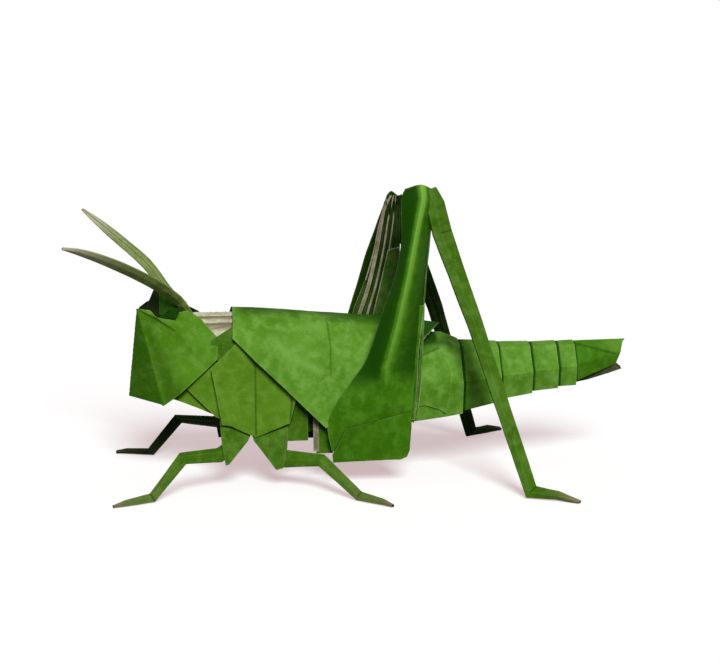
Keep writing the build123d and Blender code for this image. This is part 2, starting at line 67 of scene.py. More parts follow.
# Antennae and legs, near and far
ANTENNA_REACH = (29.3 * MM, 24.9 * MM)
ANTENNA_SPREAD = 13.0 * MM
ANTENNA_RISE = (17.3 * MM, 22.8 * MM)
ANTENNA_WIDTH = (3.3 * MM, 2.7 * MM)
ANTENNA_THICK = 0.9 * MM
FORE_REACH = (28.8 * MM, 27.6 * MM)
FORE_SPREAD = (14.3 * MM, 14.8 * MM)
MID_REACH = (22.0 * MM, 22.6 * MM)
MID_SPREAD = (22.1 * MM, 21.4 * MM)
LEG_WIDTH = 2.8 * MM
LEG_THICK = 1.4 * MM
KNEE_HEIGHT = (73.6 * MM, 70.1 * MM)
HIND_SHIFT = (0.0, -4.0 * MM)
THIGH_WIDTH = 20.0 * MM
THIGH_BULGE = 7.0 * MM
KNEE_PINCH_SHARE = (0, 0.5)
STACK_DEPTH = 1.9 * MM
SHIN_REACH = (27.4 * MM, 29.2 * MM)
SHIN_SPREAD = (21.0 * MM, 20.9 * MM)
HIND_FOOT_REACH = (10.3 * MM, 9.6 * MM)
HIND_FOOT_SPREAD = (6.4 * MM, 7.0 * MM)
SHIN_WIDTH = 3.5 * MM
SHIN_THICK = 1.7 * MM

# Paper: thickness, mesh, and how it buckles
PAPER = 0.3 * MM
FINE_PAPER = 0.2 * MM
CELL = 0.8 * MM
FINE_CELL = 0.5 * MM
CURVE_STEPS = 4  # points on a smooth curve for each one given
WAVE = 0.16 * MM
WAVE_SIZE = 7.5 * MM
CRUMPLE = 0.045 * MM
CRUMPLE_SIZE = 2.0 * MM
CREASE_DEPTH = 0.16 * MM
CREASE_WIDTH = 0.55 * MM
LINE_ANGLE = math.radians(14)
FOLD_OFFSET = 0.14  # how much fainter the pale line of wear and painted highlight is on a fold than on a cut edge, in millimetres
SHARP_ANGLE = math.radians(38)
SEED_STEPS = (7.13, 3.71, 5.37)
# How much a sheet buckles, as shares of the full wave
STIFF_SHARE, TAUT_SHARE, FIRM_SHARE, LOOSE_SHARE = 0.5, 0.6, 0.7, 0.8
FAR_AWAY = 99.0  # distance, in millimetres, where a sheet has no such line


# Frames: each area's points are shares of its own length, half width and height

def body(u, v, w):
    """A point of the body: back from the saddle's front, out to the near side, up from the belly."""
    return ORIGIN + Vector((u * BODY_LENGTH, -v * BODY_HALF_WIDTH, RIDE_HEIGHT + w * BODY_HEIGHT))


def head(u, v, w):
    """A point of the head: forward from its rear edge, out to the near side, up from the chin."""
    x = -NECK_LENGTH - u * HEAD_LENGTH
    return ORIGIN + Vector((x, -v * HEAD_HALF_WIDTH, RIDGE_HEIGHT + (w - 1) * HEAD_HEIGHT))


def abdomen(u, v, w):
    """A point of the abdomen: back from the wing pads' end, out to the near side, up from its keel."""
    start = body(1.0, 0.0, 0.1)
    return start + Vector((u * ABDOMEN_LENGTH, -v * ABDOMEN_HALF_WIDTH, w * ABDOMEN_HEIGHT))


def rows_in(place, table):
    """A frame's points for a table of shares, row by row."""
    return [[place(*shares) for shares in row] for row in table]


# Sheets: points by name, and facets whose corners are given by those names

def across_middle(place):
    """The same place on the other side of the body."""
    return Vector((place.x, 2 * ORIGIN.y - place.y, place.z))


def turned(facets):
    """The same facets with their other face out."""
    return [tuple(reversed(f)) for f in facets]


def to_side(side, points, facets):
    """A sheet as it is on the near side, or its mirror image on the far one."""
    if side == 0:
        return points, facets
    return {n: across_middle(p) for n, p in points.items()}, turned(facets)


def paired(points, facets):
    """Adds the far half of a sheet that is folded alike on both sides of the midline."""
    places = dict(points)
    twin = {}
    for name, place in points.items():
        middle = abs(place.y - ORIGIN.y) < PAPER / 4
        twin[name] = name if middle else name + " far"
        places[twin[name]] = place if middle else across_middle(place)
    return places, list(facets) + [tuple(twin[n] for n in f) for f in turned(facets)]


def grid(rows):
    """Points by name, row by row, and the facets between the rows."""
    points = {f"p {i} {j}": p for i, row in enumerate(rows) for j, p in enumerate(row)}
    facets = []
    for i in range(len(rows) - 1):
        for j in range(len(rows[i]) - 1):
            square = ((i, j), (i, j + 1), (i + 1, j + 1), (i + 1, j))
            facets.append(tuple(f"p {r} {c}" for r, c in square))
    return points, facets


def resampled(rows, cell):
    """The same grid with points added, none further apart than the cell."""
    for _ in range(2):
        dense = []
        for a, b in zip(rows, rows[1:]):
            longest = max((q - p).length for p, q in zip(a, b))
            steps = max(1, math.ceil(longest / cell))
            dense += [[p + (q - p) * (k / steps) for p, q in zip(a, b)] for k in range(steps)]
        rows = [list(column) for column in zip(*(dense + [rows[-1]]))]
    return rows


def curved(rows):
    """Rows added between the given ones, so that each column follows a smooth curve."""
    out = []
    for i in range(len(rows) - 1):
        before = rows[max(i - 1, 0)]
        after = rows[min(i + 2, len(rows) - 1)]
        for k in range(CURVE_STEPS):
            t = k / CURVE_STEPS
            row = []
            for a, b, c, d in zip(before, rows[i], rows[i + 1], after):
                bend = (2 * b + (c - a) * t + (2 * a - 5 * b + 4 * c - d) * t ** 2
                        + (3 * b - a - 3 * c + d) * t ** 3)
                row.append(bend / 2)
            out.append(row)
    return out + [rows[-1]]


def refined(places, tones, triangles, cell):
    """Halves the triangles' long sides until none is longer than the cell."""
    while True:
        middles = {}
        for triangle in triangles:
            for i in range(3):
                side = tuple(sorted((triangle[i - 1], triangle[i])))
                if side not in middles and (places[side[0]] - places[side[1]]).length > cell:
                    middles[side] = len(places)
                    places.append((places[side[0]] + places[side[1]]) / 2)
                    tones.append((tones[side[0]] + tones[side[1]]) / 2)
        if not middles:
            return triangles
        finer = []
        for a, b, c in triangles:
            for _ in range(3):
                if tuple(sorted((a, b))) in middles and tuple(sorted((c, a))) not in middles:
                    break
                a, b, c = b, c, a
            ab, bc, ca = (middles.get(tuple(sorted(side))) for side in ((a, b), (b, c), (c, a)))
            if ab is None:
                finer.append((a, b, c))
            elif ca is not None:
                finer += [(a, ab, ca), (ab, b, bc), (ca, bc, c), (ab, bc, ca)]
            elif bc is None:
                finer += [(a, ab, c), (ab, b, c)]
            else:
                finer += [(ab, b, bc), (a, ab, c), (ab, bc, c)]
        triangles = finer


def fold_lines(bm):
    """End points of the sheet's cut edges, of its ridges and of its valleys."""
    edges, ridges, valleys = [], [], []
    for e in bm.edges:
        ends = (e.verts[0].co.copy(), e.verts[1].co.copy())
        if e.is_boundary:
            edges.append(ends)
        elif len(e.link_faces) == 2:
            angle = e.calc_face_angle_signed(0)
            if abs(angle) > LINE_ANGLE:
                (ridges if angle > 0 else valleys).append(ends)
    return edges, ridges, valleys


def distances(places, lines, flat=False):
    """Millimetres from each place to the nearest line, seen from the side if flat."""
    nearest = np.full(len(places), FAR_AWAY)
    keep = (1, 0, 1) if flat else (1, 1, 1)
    at = places * keep
    for a, b in lines:
        a, b = np.array(a) * keep, np.array(b) * keep
        along = b - a
        share = np.clip((at - a) @ along / max(along @ along, 1e-12), 0, 1)
        gap = np.linalg.norm(at - a - share[:, None] * along, axis=1) / MM
        nearest = np.minimum(nearest, gap)
    return nearest


def nearness(places, line, width):
    """1 on a line seen from the side, falling to 0 at a width in millimetres."""
    return np.clip(1 - distances(places, list(zip(line, line[1:])), flat=True) / width, 0, 1)


sheets = []


def placed(name, data):
    """A new object in the scene."""
    obj = bpy.data.objects.new(name, data)
    scene.collection.objects.link(obj)
    return obj


def buckled(place, seed, size):
    """A smooth random number from -1 to 1 for a place, with bumps of the given size."""
    return noise.noise(place / size + Vector([seed * step for step in SEED_STEPS]))


def paper(name, points, facets, look, thick=PAPER, cell=CELL, soft=1, wave=1.0, creases=(), tones=None,
          lined=True):
    """One sheet: a fine mesh with soft folds, buckled a little and thickened inwards.

    Tones, from -1 light to 1 dark, are a table by corner or a function of the mesh's places; on several
    sheets they are painted shade and painted highlight.
    """
    seed = len(sheets) + 1
    rough = bmesh.new()
    corners = {key: rough.verts.new(place) for key, place in points.items()}
    for facet in facets:
        rough.faces.new([corners[n] for n in facet])
    bmesh.ops.triangulate(rough, faces=list(rough.faces))
    edges, ridges, valleys = fold_lines(rough)
    if not lined:
        ridges, valleys = [], []
    rough.verts.index_update()
    spread = [v.co.copy() for v in rough.verts]
    given = tones if isinstance(tones, dict) else {}
    tone = [given.get(key, 0.0) for key in points]
    triangles = refined(spread, tone, [tuple(v.index for v in f.verts) for f in rough.faces], cell)
    rough.free()
    bm = bmesh.new()
    for place in spread:
        bm.verts.new(place)
    bm.verts.ensure_lookup_table()
    for triangle in triangles:
        bm.faces.new([bm.verts[i] for i in triangle])
    inside = [v for v in bm.verts if not v.is_boundary]
    places = np.array([p[:] for p in spread])
    if callable(tones):
        tone = tones(places)
    ridge = np.minimum(distances(places, edges), distances(places, ridges) + FOLD_OFFSET)
    valley = np.minimum(distances(places, valleys), distances(places, creases, flat=True))
    for _ in range(soft):
        bmesh.ops.smooth_vert(bm, verts=inside, factor=0.5, use_axis_x=True, use_axis_y=True,
                              use_axis_z=True)
    bm.normal_update()
    pressed = distances(places, creases, flat=True) * MM / CREASE_WIDTH
    for v, gap in zip(bm.verts, pressed):
        rise = wave * WAVE * buckled(v.co, seed, WAVE_SIZE)
        rise += wave * CRUMPLE * buckled(v.co, seed, CRUMPLE_SIZE)
        rise -= CREASE_DEPTH * math.exp(-gap * gap)
        v.co += v.normal * (rise - wave * WAVE / 2)
        v.co.z = max(v.co.z, thick)
    mesh = bpy.data.meshes.new(name)
    bm.to_mesh(mesh)
    bm.free()
    for key, values in (("ridge", ridge), ("valley", valley), ("tone", np.array(tone))):
        layer = mesh.attributes.new(key, "FLOAT", "POINT")
        layer.data.foreach_set("value", values.astype(np.float32))
    raw = placed(name + "_flat", mesh)
    solidify = raw.modifiers.new("thickness", "SOLIDIFY")
    solidify.thickness = thick
    solidify.offset = -1
    solidify.use_even_offset = False
    solidify.material_offset = 1
    solidify.material_offset_rim = 2
    for material in LOOKS[look]:
        mesh.materials.append(material)
    bpy.context.view_layer.update()
    evaluated = raw.evaluated_get(bpy.context.evaluated_depsgraph_get())
    solid = bpy.data.meshes.new_from_object(evaluated)
    bpy.data.objects.remove(raw)
    solid.name = name
    solid.shade_smooth()
    solid.set_sharp_from_angle(angle=SHARP_ANGLE)
    piece = placed(name, solid)
    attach(piece, BODY)
    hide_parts(NODE)
    sheets.append(piece)


def sheet(name, rows, look, side=None, flipped=False, cell=CELL, **options):
    """A sheet from rows of points, on one side or, where none is named, on both."""
    points, facets = grid(resampled(rows, cell))
    if flipped:
        facets = turned(facets)
    points, facets = paired(points, facets) if side is None else to_side(side, points, facets)
    paper(name, points, facets, look, cell=cell, **options)


# Materials

def add(tree, kind, inputs=None, **settings):
    """A shader node, each of its inputs a value or another node's socket."""
    node = tree.nodes.new(kind)
    for key, value in settings.items():
        setattr(node, key, value)
    for socket, value in (inputs or {}).items():
        if isinstance(value, bpy.types.NodeSocket):
            tree.links.new(value, node.inputs[socket])
        else:
            node.inputs[socket].default_value = value
    return node


def mixed(tree, factor, low, high):
    """A colour between two."""
    return add(tree, "ShaderNodeMix", {0: factor, 6: low, 7: high}, data_type="RGBA").outputs[2]


def ranged(tree, value, low, high, start=0.0, end=1.0):
    """A value's place between two others, from start to end, easing at both."""
    inputs = {"Value": value, "From Min": low, "From Max": high, "To Min": start, "To Max": end}
    return add(tree, "ShaderNodeMapRange", inputs, interpolation_type="SMOOTHSTEP").outputs[0]


def maths(tree, operation, a, b):
    return add(tree, "ShaderNodeMath", {0: a, 1: b}, operation=operation).outputs[0]


def clouds(tree, place, size, detail=3.0, stretch=(1.0, 1.0, 1.0), turn=(0.0, 0.0, 0.0)):
    """Soft noise from 0 to 1 whose patches are about size millimetres wide."""
    scale = tuple(s / size for s in stretch)
    mapping = add(tree, "ShaderNodeMapping", {"Vector": place, "Scale": scale, "Rotation": turn})
    return add(tree, "ShaderNodeTexNoise", {"Vector": mapping.outputs[0], "Scale": 1.0, "Detail": detail,
                                            "Roughness": 0.6}).outputs[0]


# The paper's marks: size in millimetres, and for some their detail, stretch and turn
CLOUD_SIZE = 9.0
PATCHES = (2.8, 4.0, (1.15, 1.0, 1.0), (0.4, 0.6, 0.9))
FIBRES = (0.9, 4.0, (0.45, 1.0, 2.0), (0.2, -0.7, 0.5))
GRAIN_SIZE = 0.35
# Patches along the pale edges, which are partly wear and partly a painted highlight
PALE_EDGE_PATCH_SIZE = 2.2
COCKLE = {"Distance": 0.3 * MM, "Strength": 0.22}
RELIEF = {"Distance": 0.06 * MM, "Strength": 0.5}
FIBRE_SHARE = 0.7
GRAIN_SHARE = 0.4
VALLEY_SHADE_SHARE = 0.45  # painted shade in valleys and creases: its colour, as a share of the paper's dark one
GLOSS = 0.04


def opaque(colour):
    return (*colour, 1)


def paper_material(name, dark, mid, light, rubbed_lit_colour, roughness=0.62, ends_and_shade=None, rub_and_sheen=0.5, grain=1.0, pale=None):
    """Coloured paper: cloudy tone, short fibres, fine grain, pale edges and ridges that are partly wear and
    partly a painted highlight, and painted shade in valleys.

    Tones below 0 go to the pale colour, which on the thigh is a painted highlight, and tones above 0 to the
    dark end colour: on the green papers painted shade, elsewhere the colour of leg and antenna tips and of
    the neck's bands.
    """
    crease = opaque(c * VALLEY_SHADE_SHARE for c in dark)
    pale = opaque(pale or light)
    dark, mid, light, rubbed_lit_colour = (opaque(colour) for colour in (dark, mid, light, rubbed_lit_colour))
    material = bpy.data.materials.new(name)
    material.use_nodes = True
    tree = material.node_tree
    shader = tree.nodes["Principled BSDF"]
    place = add(tree, "ShaderNodeVectorMath", {0: add(tree, "ShaderNodeTexCoord").outputs["Object"],
                                               "Scale": 1 / MM}, operation="SCALE").outputs[0]
    cloud = ranged(tree, clouds(tree, place, CLOUD_SIZE), 0.33, 0.67)
    patches = clouds(tree, place, *PATCHES)
    fibres = clouds(tree, place, *FIBRES)
    fine = clouds(tree, place, GRAIN_SIZE)
    base = mixed(tree, cloud, dark, mid)
    base = mixed(tree, ranged(tree, patches, 0.4, 0.7, 0.0, 0.8), base, light)
    base = mixed(tree, ranged(tree, fibres, 0.5, 0.75, 0.0, 0.35 * grain), base, light)
    base = mixed(tree, ranged(tree, fine, 0.35, 0.65, 0.22 * grain, 0.0), base, dark)
    tone, ridge, valley = (add(tree, "ShaderNodeAttribute", attribute_name=name).outputs["Fac"]
                           for name in ("tone", "ridge", "valley"))
    # Tones: below 0 the pale colour, a painted highlight on the thigh; above 0 the dark end colour, painted
    # shade on the green papers
    base = mixed(tree, ranged(tree, tone, 0.0, -1.0), base, pale)
    if ends_and_shade:
        streaky = maths(tree, "ADD", tone, ranged(tree, fibres, 0.3, 0.7, -0.05, 0.05))
        base = mixed(tree, ranged(tree, streaky, 0.1, 0.9), base, opaque(ends_and_shade))
    # Pale cut edges and ridges: partly wear, partly a painted highlight where the edges catch the light
    patchy = ranged(tree, clouds(tree, place, PALE_EDGE_PATCH_SIZE), 0.3, 0.62, 0.25, 1.0)
    edge = maths(tree, "MULTIPLY", ranged(tree, ridge, 0.34, 0.04, 0.0, rub_and_sheen), patchy)
    base = mixed(tree, edge, base, rubbed_lit_colour)
    # Painted shade in valleys and creases
    base = mixed(tree, ranged(tree, valley, 0.4, 0.05, 0.0, 0.7), base, crease)
    tree.links.new(base, shader.inputs["Base Color"])
    rough = ranged(tree, cloud, 0.0, 1.0, roughness + 0.08, roughness - 0.06)
    tree.links.new(rough, shader.inputs["Roughness"])
    shader.inputs["Specular IOR Level"].default_value = GLOSS
    relief = maths(tree, "ADD", maths(tree, "MULTIPLY", fibres, FIBRE_SHARE),
                   maths(tree, "MULTIPLY", fine, GRAIN_SHARE))
    cockle = add(tree, "ShaderNodeBump", {"Height": patches, **COCKLE}).outputs[0]
    bump = add(tree, "ShaderNodeBump", {"Height": relief, "Normal": cockle, **RELIEF})
    tree.links.new(bump.outputs[0], shader.inputs["Normal"])
    return material


# Pale colour of cut edges and folds: partly wear, partly a painted highlight
RUBBED_AND_LIT = (0.22, 0.38, 0.11)
# Painted shade: the dark colour that tones above 0 bring to the green papers
PAINTED_SHADE = (0.01, 0.058, 0.0008)
GREEN = paper_material(
    "green_paper", (0.075, 0.21, 0.01), (0.11, 0.275, 0.022), (0.175, 0.37, 0.06), RUBBED_AND_LIT, ends_and_shade=PAINTED_SHADE)
OLIVE = paper_material(
    "olive_green_paper", (0.078, 0.19, 0.007), (0.1, 0.235, 0.012), (0.135, 0.29, 0.028), RUBBED_AND_LIT, ends_and_shade=PAINTED_SHADE,
    rub_and_sheen=0.4)
HEAD_GREEN = paper_material(
    "head_green_paper", (0.062, 0.185, 0.005), (0.088, 0.24, 0.01), (0.14, 0.31, 0.035), RUBBED_AND_LIT, ends_and_shade=PAINTED_SHADE,
    rub_and_sheen=0.4)
# The deep paper's pale colour is a painted highlight along the thigh's ridge
DEEP = paper_material(
    "deep_green_paper", (0.036, 0.138, 0.002), (0.052, 0.175, 0.004), (0.085, 0.235, 0.014), RUBBED_AND_LIT,
    roughness=0.5, rub_and_sheen=0.3, ends_and_shade=PAINTED_SHADE, pale=(0.17, 0.38, 0.045))
LAYERED = paper_material(
    "stacked_green_paper", (0.03, 0.115, 0.002), (0.045, 0.15, 0.004), (0.075, 0.21, 0.014), RUBBED_AND_LIT, rub_and_sheen=0.9)
# Painted shade: dark green for inner faces and for sheets that lie in shadow
SHADE = paper_material(
    "green_painted_shade", (0.01, 0.045, 0.001), (0.018, 0.07, 0.003), (0.034, 0.105, 0.008),
    (0.12, 0.17, 0.06), rub_and_sheen=0.3)
# Painted shadow: very dark green for the antenna's shadow on the crown
ANTENNA_SHADOW_PAINT = paper_material(
    "antenna_shadow_paint", (0.003, 0.028, 0.001), (0.005, 0.04, 0.001), (0.01, 0.055, 0.003), (0.03, 0.09, 0.02),
    rub_and_sheen=0.3)
# Painted shadow: near black for inner faces and for the web that lie in deep shadow
SHADOW_BLACK = paper_material(
    "black_painted_shadow", (0.005, 0.01, 0.002), (0.01, 0.018, 0.004), (0.024, 0.03, 0.01),
    (0.08, 0.07, 0.04), rub_and_sheen=0.3)
BACK = paper_material(
    "paper_reverse", (0.3, 0.25, 0.15), (0.5, 0.45, 0.31), (0.68, 0.65, 0.5), (0.78, 0.76, 0.62), grain=1.4)
RAW = paper_material(
    "raw_edge", (0.06, 0.11, 0.025), (0.15, 0.21, 0.07), (0.32, 0.36, 0.17), (0.4, 0.42, 0.25), rub_and_sheen=0)
# Painted shade: the raw edge's colour as it looks in shadow
DARK_RAW = paper_material(
    "shaded_raw_edge", (0.02, 0.035, 0.01), (0.05, 0.065, 0.025), (0.14, 0.13, 0.075), (0.22, 0.2, 0.13),
    rub_and_sheen=0)
LEG = paper_material(
    "leg_paper", (0.04, 0.115, 0.003), (0.06, 0.155, 0.007), (0.1, 0.22, 0.024), (0.21, 0.3, 0.11),
    ends_and_shade=(0.22, 0.19, 0.1), rub_and_sheen=0.3)
# Painted shade: a cut edge of green paper as it looks in shadow
EDGE = paper_material(
    "shaded_cut_edge", (0.012, 0.036, 0.003), (0.022, 0.055, 0.006), (0.05, 0.09, 0.018), (0.1, 0.15, 0.05),
    rub_and_sheen=0)
FEELER = paper_material(
    "antenna_paper", (0.095, 0.155, 0.015), (0.15, 0.23, 0.035), (0.23, 0.31, 0.085), (0.38, 0.38, 0.24),
    ends_and_shade=(0.46, 0.45, 0.29))
NECK_PAPER = paper_material(
    "neck_pleats", (0.4, 0.37, 0.23), (0.6, 0.59, 0.41), (0.82, 0.82, 0.62), (0.72, 0.7, 0.56),
    ends_and_shade=(0.18, 0.15, 0.08), rub_and_sheen=0.3)
# Painted shade: the far legs' paper, dark because they lie in the body's shadow
SHADED_LEG_PAPER = paper_material(
    "far_leg_paper", (0.004, 0.016, 0.001), (0.008, 0.028, 0.002), (0.02, 0.05, 0.006), (0.06, 0.075, 0.03),
    ends_and_shade=(0.045, 0.05, 0.028), rub_and_sheen=0.4)
PLEATED = paper_material(
    "pleated_layers", (0.02, 0.06, 0.004), (0.045, 0.11, 0.012), (0.095, 0.165, 0.035), (0.44, 0.42, 0.26),
    rub_and_sheen=0.9)
RAW_LAYERS = paper_material(
    "raw_layers", (0.11, 0.095, 0.05), (0.23, 0.21, 0.13), (0.42, 0.4, 0.27), (0.5, 0.48, 0.34), rub_and_sheen=0.3)

# Outer face, inner face and cut edge of each kind of sheet; the dark inner faces and cut edges, and the
# shade, inner, crown and far leg looks, are painted shade
LOOKS = {
    "green": (GREEN, SHADE, EDGE),
    "saddle": (GREEN, BACK, RAW),
    "olive": (OLIVE, SHADE, EDGE),
    "head": (HEAD_GREEN, SHADOW_BLACK, EDGE),
    "deep": (DEEP, SHADE, EDGE),
    "layer": (LAYERED, SHADOW_BLACK, EDGE),
    "shade": (SHADE, SHADOW_BLACK, DARK_RAW),
    "inner": (SHADOW_BLACK, SHADOW_BLACK, DARK_RAW),
    "crown": (ANTENNA_SHADOW_PAINT, SHADOW_BLACK, EDGE),
    "leg": (LEG, SHADOW_BLACK, EDGE),
    "far leg": (SHADED_LEG_PAPER, SHADOW_BLACK, DARK_RAW),
    "neck": (NECK_PAPER, NECK_PAPER, RAW),
    "feeler": (FEELER, FEELER, RAW),
    "pleats": (PLEATED, SHADOW_BLACK, RAW),
    "raw layer": (RAW_LAYERS, RAW_LAYERS, RAW),
    "tail layer": (RAW_LAYERS, DARK_RAW, EDGE),
}


# Saddle: pronotum and wing pads draped over the body

SADDLE_SHARES = (
    ((0, 0, 1), (-0.002, 0.22, 0.985), (-0.012, 0.8, 0.795)),
    ((0.142, 0, 0.987), (0.12, 0.28, 0.965), (0.089, 1.02, 0.623)),
    ((0.27, 0, 0.967), (0.25, 0.36, 0.93), (0.197, 1.08, 0.442)),
    ((0.4, 0, 0.943), (0.385, 0.42, 0.9), (0.308, 1.12, 0.251)),
    ((0.54, 0, 0.925), (0.48, 0.44, 0.89), (0.415, 1.14, 0.067)),
    ((0.725, 0, 0.904), (0.7, 0.38, 0.86), (0.64, 0.96, 0.36)),
    ((1, 0, 0.826), (0.96, 0.28, 0.8), (0.894, 0.56, 0.73)),
)
BELLY_SHARES = (0.5, 0.66, 0.45)
SADDLE_CREASE_SHARES = (((0.44, 0.9), (0.451, 0.708)), ((0.451, 0.708), (0.443, 0.48)))
# Soft lines: shares along and up, width in millimetres and tone; the first, below the top edge, is painted
# shade
SADDLE_MARK_SHARES = (
    (((0.06, 1.01), (0.217, 1.0), (0.333, 0.975), (0.433, 0.955), (0.553, 0.935), (0.7, 0.905)), 3.2, 0.8),
    (((0.188, 0.766), (0.251, 0.638), (0.396, 0.52)), 2.2, -0.7),
    (((0.36, 0.88), (0.41, 0.84)), 3.0, -0.6),
)
# Shares along the body and the tones there: painted shade at the wing pads' rear
SADDLE_REAR_TONES = ((0.84, 0.9), (0, 0.9))


def side_lines(place, lines):
    """Creases given by shares along and up in a frame, as end points."""
    return [tuple(place(u, 0, w) for u, w in line) for line in lines]


def marked(place, places, marks):
    """The tones of soft lines in a frame, added up."""
    return sum(tone * nearness(places, [place(u, 0, w) for u, w in shares], width)
               for shares, width, tone in marks)


def saddle_tones(places):
    """Painted shade below the top edge and at the rear, light in two streaks."""
    along = (places[:, 0] - body(0, 0, 0).x) / BODY_LENGTH
    return marked(body, places, SADDLE_MARK_SHARES) + np.interp(along, *SADDLE_REAR_TONES)


def saddle():
    rows = []
    for ridge, shoulder, edge in SADDLE_SHARES:
        belly = [a + (b - a) * share for a, b, share in zip(shoulder, edge, BELLY_SHARES)]
        rows.append([body(*shares) for shares in (ridge, shoulder, belly, edge)])
    sheet("saddle", rows, "saddle", soft=2, lined=False, tones=saddle_tones,
          creases=side_lines(body, SADDLE_CREASE_SHARES))


# Thorax: a creased panel on each side, pointed below, with its underside folded in

THORAX_SHARES = {
    "neck": (-0.114, 0.78, 0.552), "throat": (-0.069, 0.93, 0.096), "fore hip": (-0.028, 0.96, 0.085),
    "point": (0.088, 1.02, -0.01), "mid hip": (0.248, 1.02, 0.1), "rear": (0.277, 1, 0.303),
    "rear top": (0.28, 0.79, 0.664), "crease top": (0.09, 0.79, 0.729), "apex": (0.005, 0.74, 0.751),
    "front top": (0.02, 0.54, 0.873), "front keel": (-0.069, 0, 0.12), "point keel": (0.088, 0, 0.04),
    "rear keel": (0.248, 0, 0.1),
}
THORAX_FACETS = (
    ("neck", "throat", "fore hip", "apex"), ("apex", "fore hip", "point", "crease top"),
    ("apex", "crease top", "front top"), ("crease top", "point", "mid hip", "rear", "rear top"),
    ("throat", "front keel", "point keel", "point", "fore hip"),
    ("point", "point keel", "rear keel", "mid hip"),
)
THORAX_CREASE_SHARES = (((0.092, 0.7), (0.088, 0.01)),)


def thorax():
    points = {name: body(*shares) for name, shares in THORAX_SHARES.items()}
    paper("thorax", *paired(points, THORAX_FACETS), "olive", wave=FIRM_SHARE,
          creases=side_lines(body, THORAX_CREASE_SHARES))


# Flank and abdomen: one folded tube that telescopes towards the tail

FLANK_PANEL_SHARES = (
    ((0.2, 0.74, 0.64), (0.2, 0.84, 0.35), (0.225, 0.84, -0.06)),
    ((0.338, 0.74, 0.56), (0.338, 0.84, 0.35), (0.338, 0.82, -0.062)),
)
FLANK_SHARES = (
    ((0.2, 0.62, 0.742), (0.2, 0.62, 0.35), (0.225, 0.62, -0.02), (0.225, 0, 0)),
    ((0.357, 0.62, 0.653), (0.357, 0.62, 0.35), (0.357, 0.62, -0.01), (0.357, 0, 0)),
    ((0.56, 0.7, 0.607), (0.56, 0.74, 0.33), (0.56, 0.66, 0), (0.56, 0, 0.05)),
)
HIND_PLATE_SHARES = (
    ((0.376, 0.87, 0.25), (0.468, 0.87, 0.25)),
    ((0.376, 0.88, -0.168), (0.455, 0.88, -0.168)),
)
HIND_EDGE_SHARES = (
    ((0.36, 0.88, 0.2), (0.387, 0.89, 0.2)),
    ((0.361, 0.89, -0.148), (0.387, 0.9, -0.148)),
)
# Stations of the abdomen: place along it, half width, height of its ridge and of its keel
ABDOMEN_SHARES = (
    (-0.245, 0.98, 1.03, -0.1), (0.01, 1, 1, -0.03), (0.096, 0.94, 0.905, 0.01), (0.302, 0.81, 0.86, 0.14),
    (0.474, 0.69, 0.846, 0.226), (0.616, 0.59, 0.845, 0.274), (0.716, 0.53, 0.845, 0.303),
)
PROUD_FROM = 2
SECTION_SHARES = ((0, 1), (0.42, 0.93), (1, 0.45), (0.88, 0), (0, 0.06))
SIDE_POINTS = 4
TAIL_SHARES = (
    (1, 0, 0.847), (0.985, 0.09, 0.8), (0.975, 0.13, 0.68), (0.952, 0.1, 0.52), (0.948, 0, 0.522),
)
TAIL_FLAP_SHARES = (
    (0.735, 0.34), (0.737, 0.29), (0.8, 0.316), (0.92, 0.4), (0.988, 0.455), (0.955, 0.5), (0.93, 0.56),
)
TAIL_CREASE_SHARES = (((0.728, 0.816), (0.95, 0.655)),)
# Panels folded over the abdomen's front: upper and lower edge, shares along and up
PANEL_SHARES = (
    ((-0.15, 0.7), (-0.11, 0.742), (-0.023, 0.817), (0.002, 0.82), (0.018, 0.708), (0.04, 0.56)),
    ((-0.15, 0.13), (-0.11, 0.14), (-0.06, 0.105), (-0.03, 0.08), (0.006, 0.02), (0.012, 0.06)),
)
PANEL_STEPS = 6
PANEL_LIFT = 0.35 * MM
# Soft lines of painted shade: the fold above the front panel, and the hollow beside the thigh
ABDOMEN_MARK_SHARES = (
    (((-0.15, 0.84), (-0.05, 0.905), (0.03, 0.895), (0.06, 0.84)), 2.2, 0.55),
    (((-0.13, 0.985), (-0.06, 1.01)), 2.6, 1.2),
)
# Shares along the abdomen and the tones there
RING_TONES = (
    (0.092, 0.102, 0.28, 0.305, 0.474, 0.48, 0.616, 0.622), (0.1, 0.45, 0.35, 0, 0, 0.25, 0.25, 0.33),
)
# Millimetres behind a ring's edge, and the tones there: painted shade just behind it, lighter just before
# it
RING_EDGE_TONES = ((-2.6, -1.2, -0.3, 0, 0.05, 0.45, 0.9), (0, -0.35, -0.35, 0, 1, 0.8, 0))
# The tail: painted shade behind the last ring, its crease's softness, and its pale end
TAIL_RING_TONES = ((0, 0.01, 0.02), (1, 0.8, 0))
TAIL_CREASE_SOFT_SHARE = 0.03
TAIL_PALE = -0.45
TAIL_PALE_SHARES = ((0.8, 0.95), (0.2, 1))
# A crease just above the front panel's top edge, pressed in, with painted shade along it
PANEL_CREASE_SHARES = (((-0.15, 0.716), (-0.11, 0.758)), ((-0.11, 0.758), (-0.023, 0.834)))


def abdomen_ring(u, half, ridge, keel, proud):
    """One ring of the abdomen, let out or taken in by a part of the pleat's step."""
    ring = []
    for v, w in SECTION_SHARES:
        place = abdomen(u, half * v, keel + (ridge - keel) * w)
        ring.append(place + Vector((0, -proud * v, proud * (w - 0.5) / 2)))
    return ring


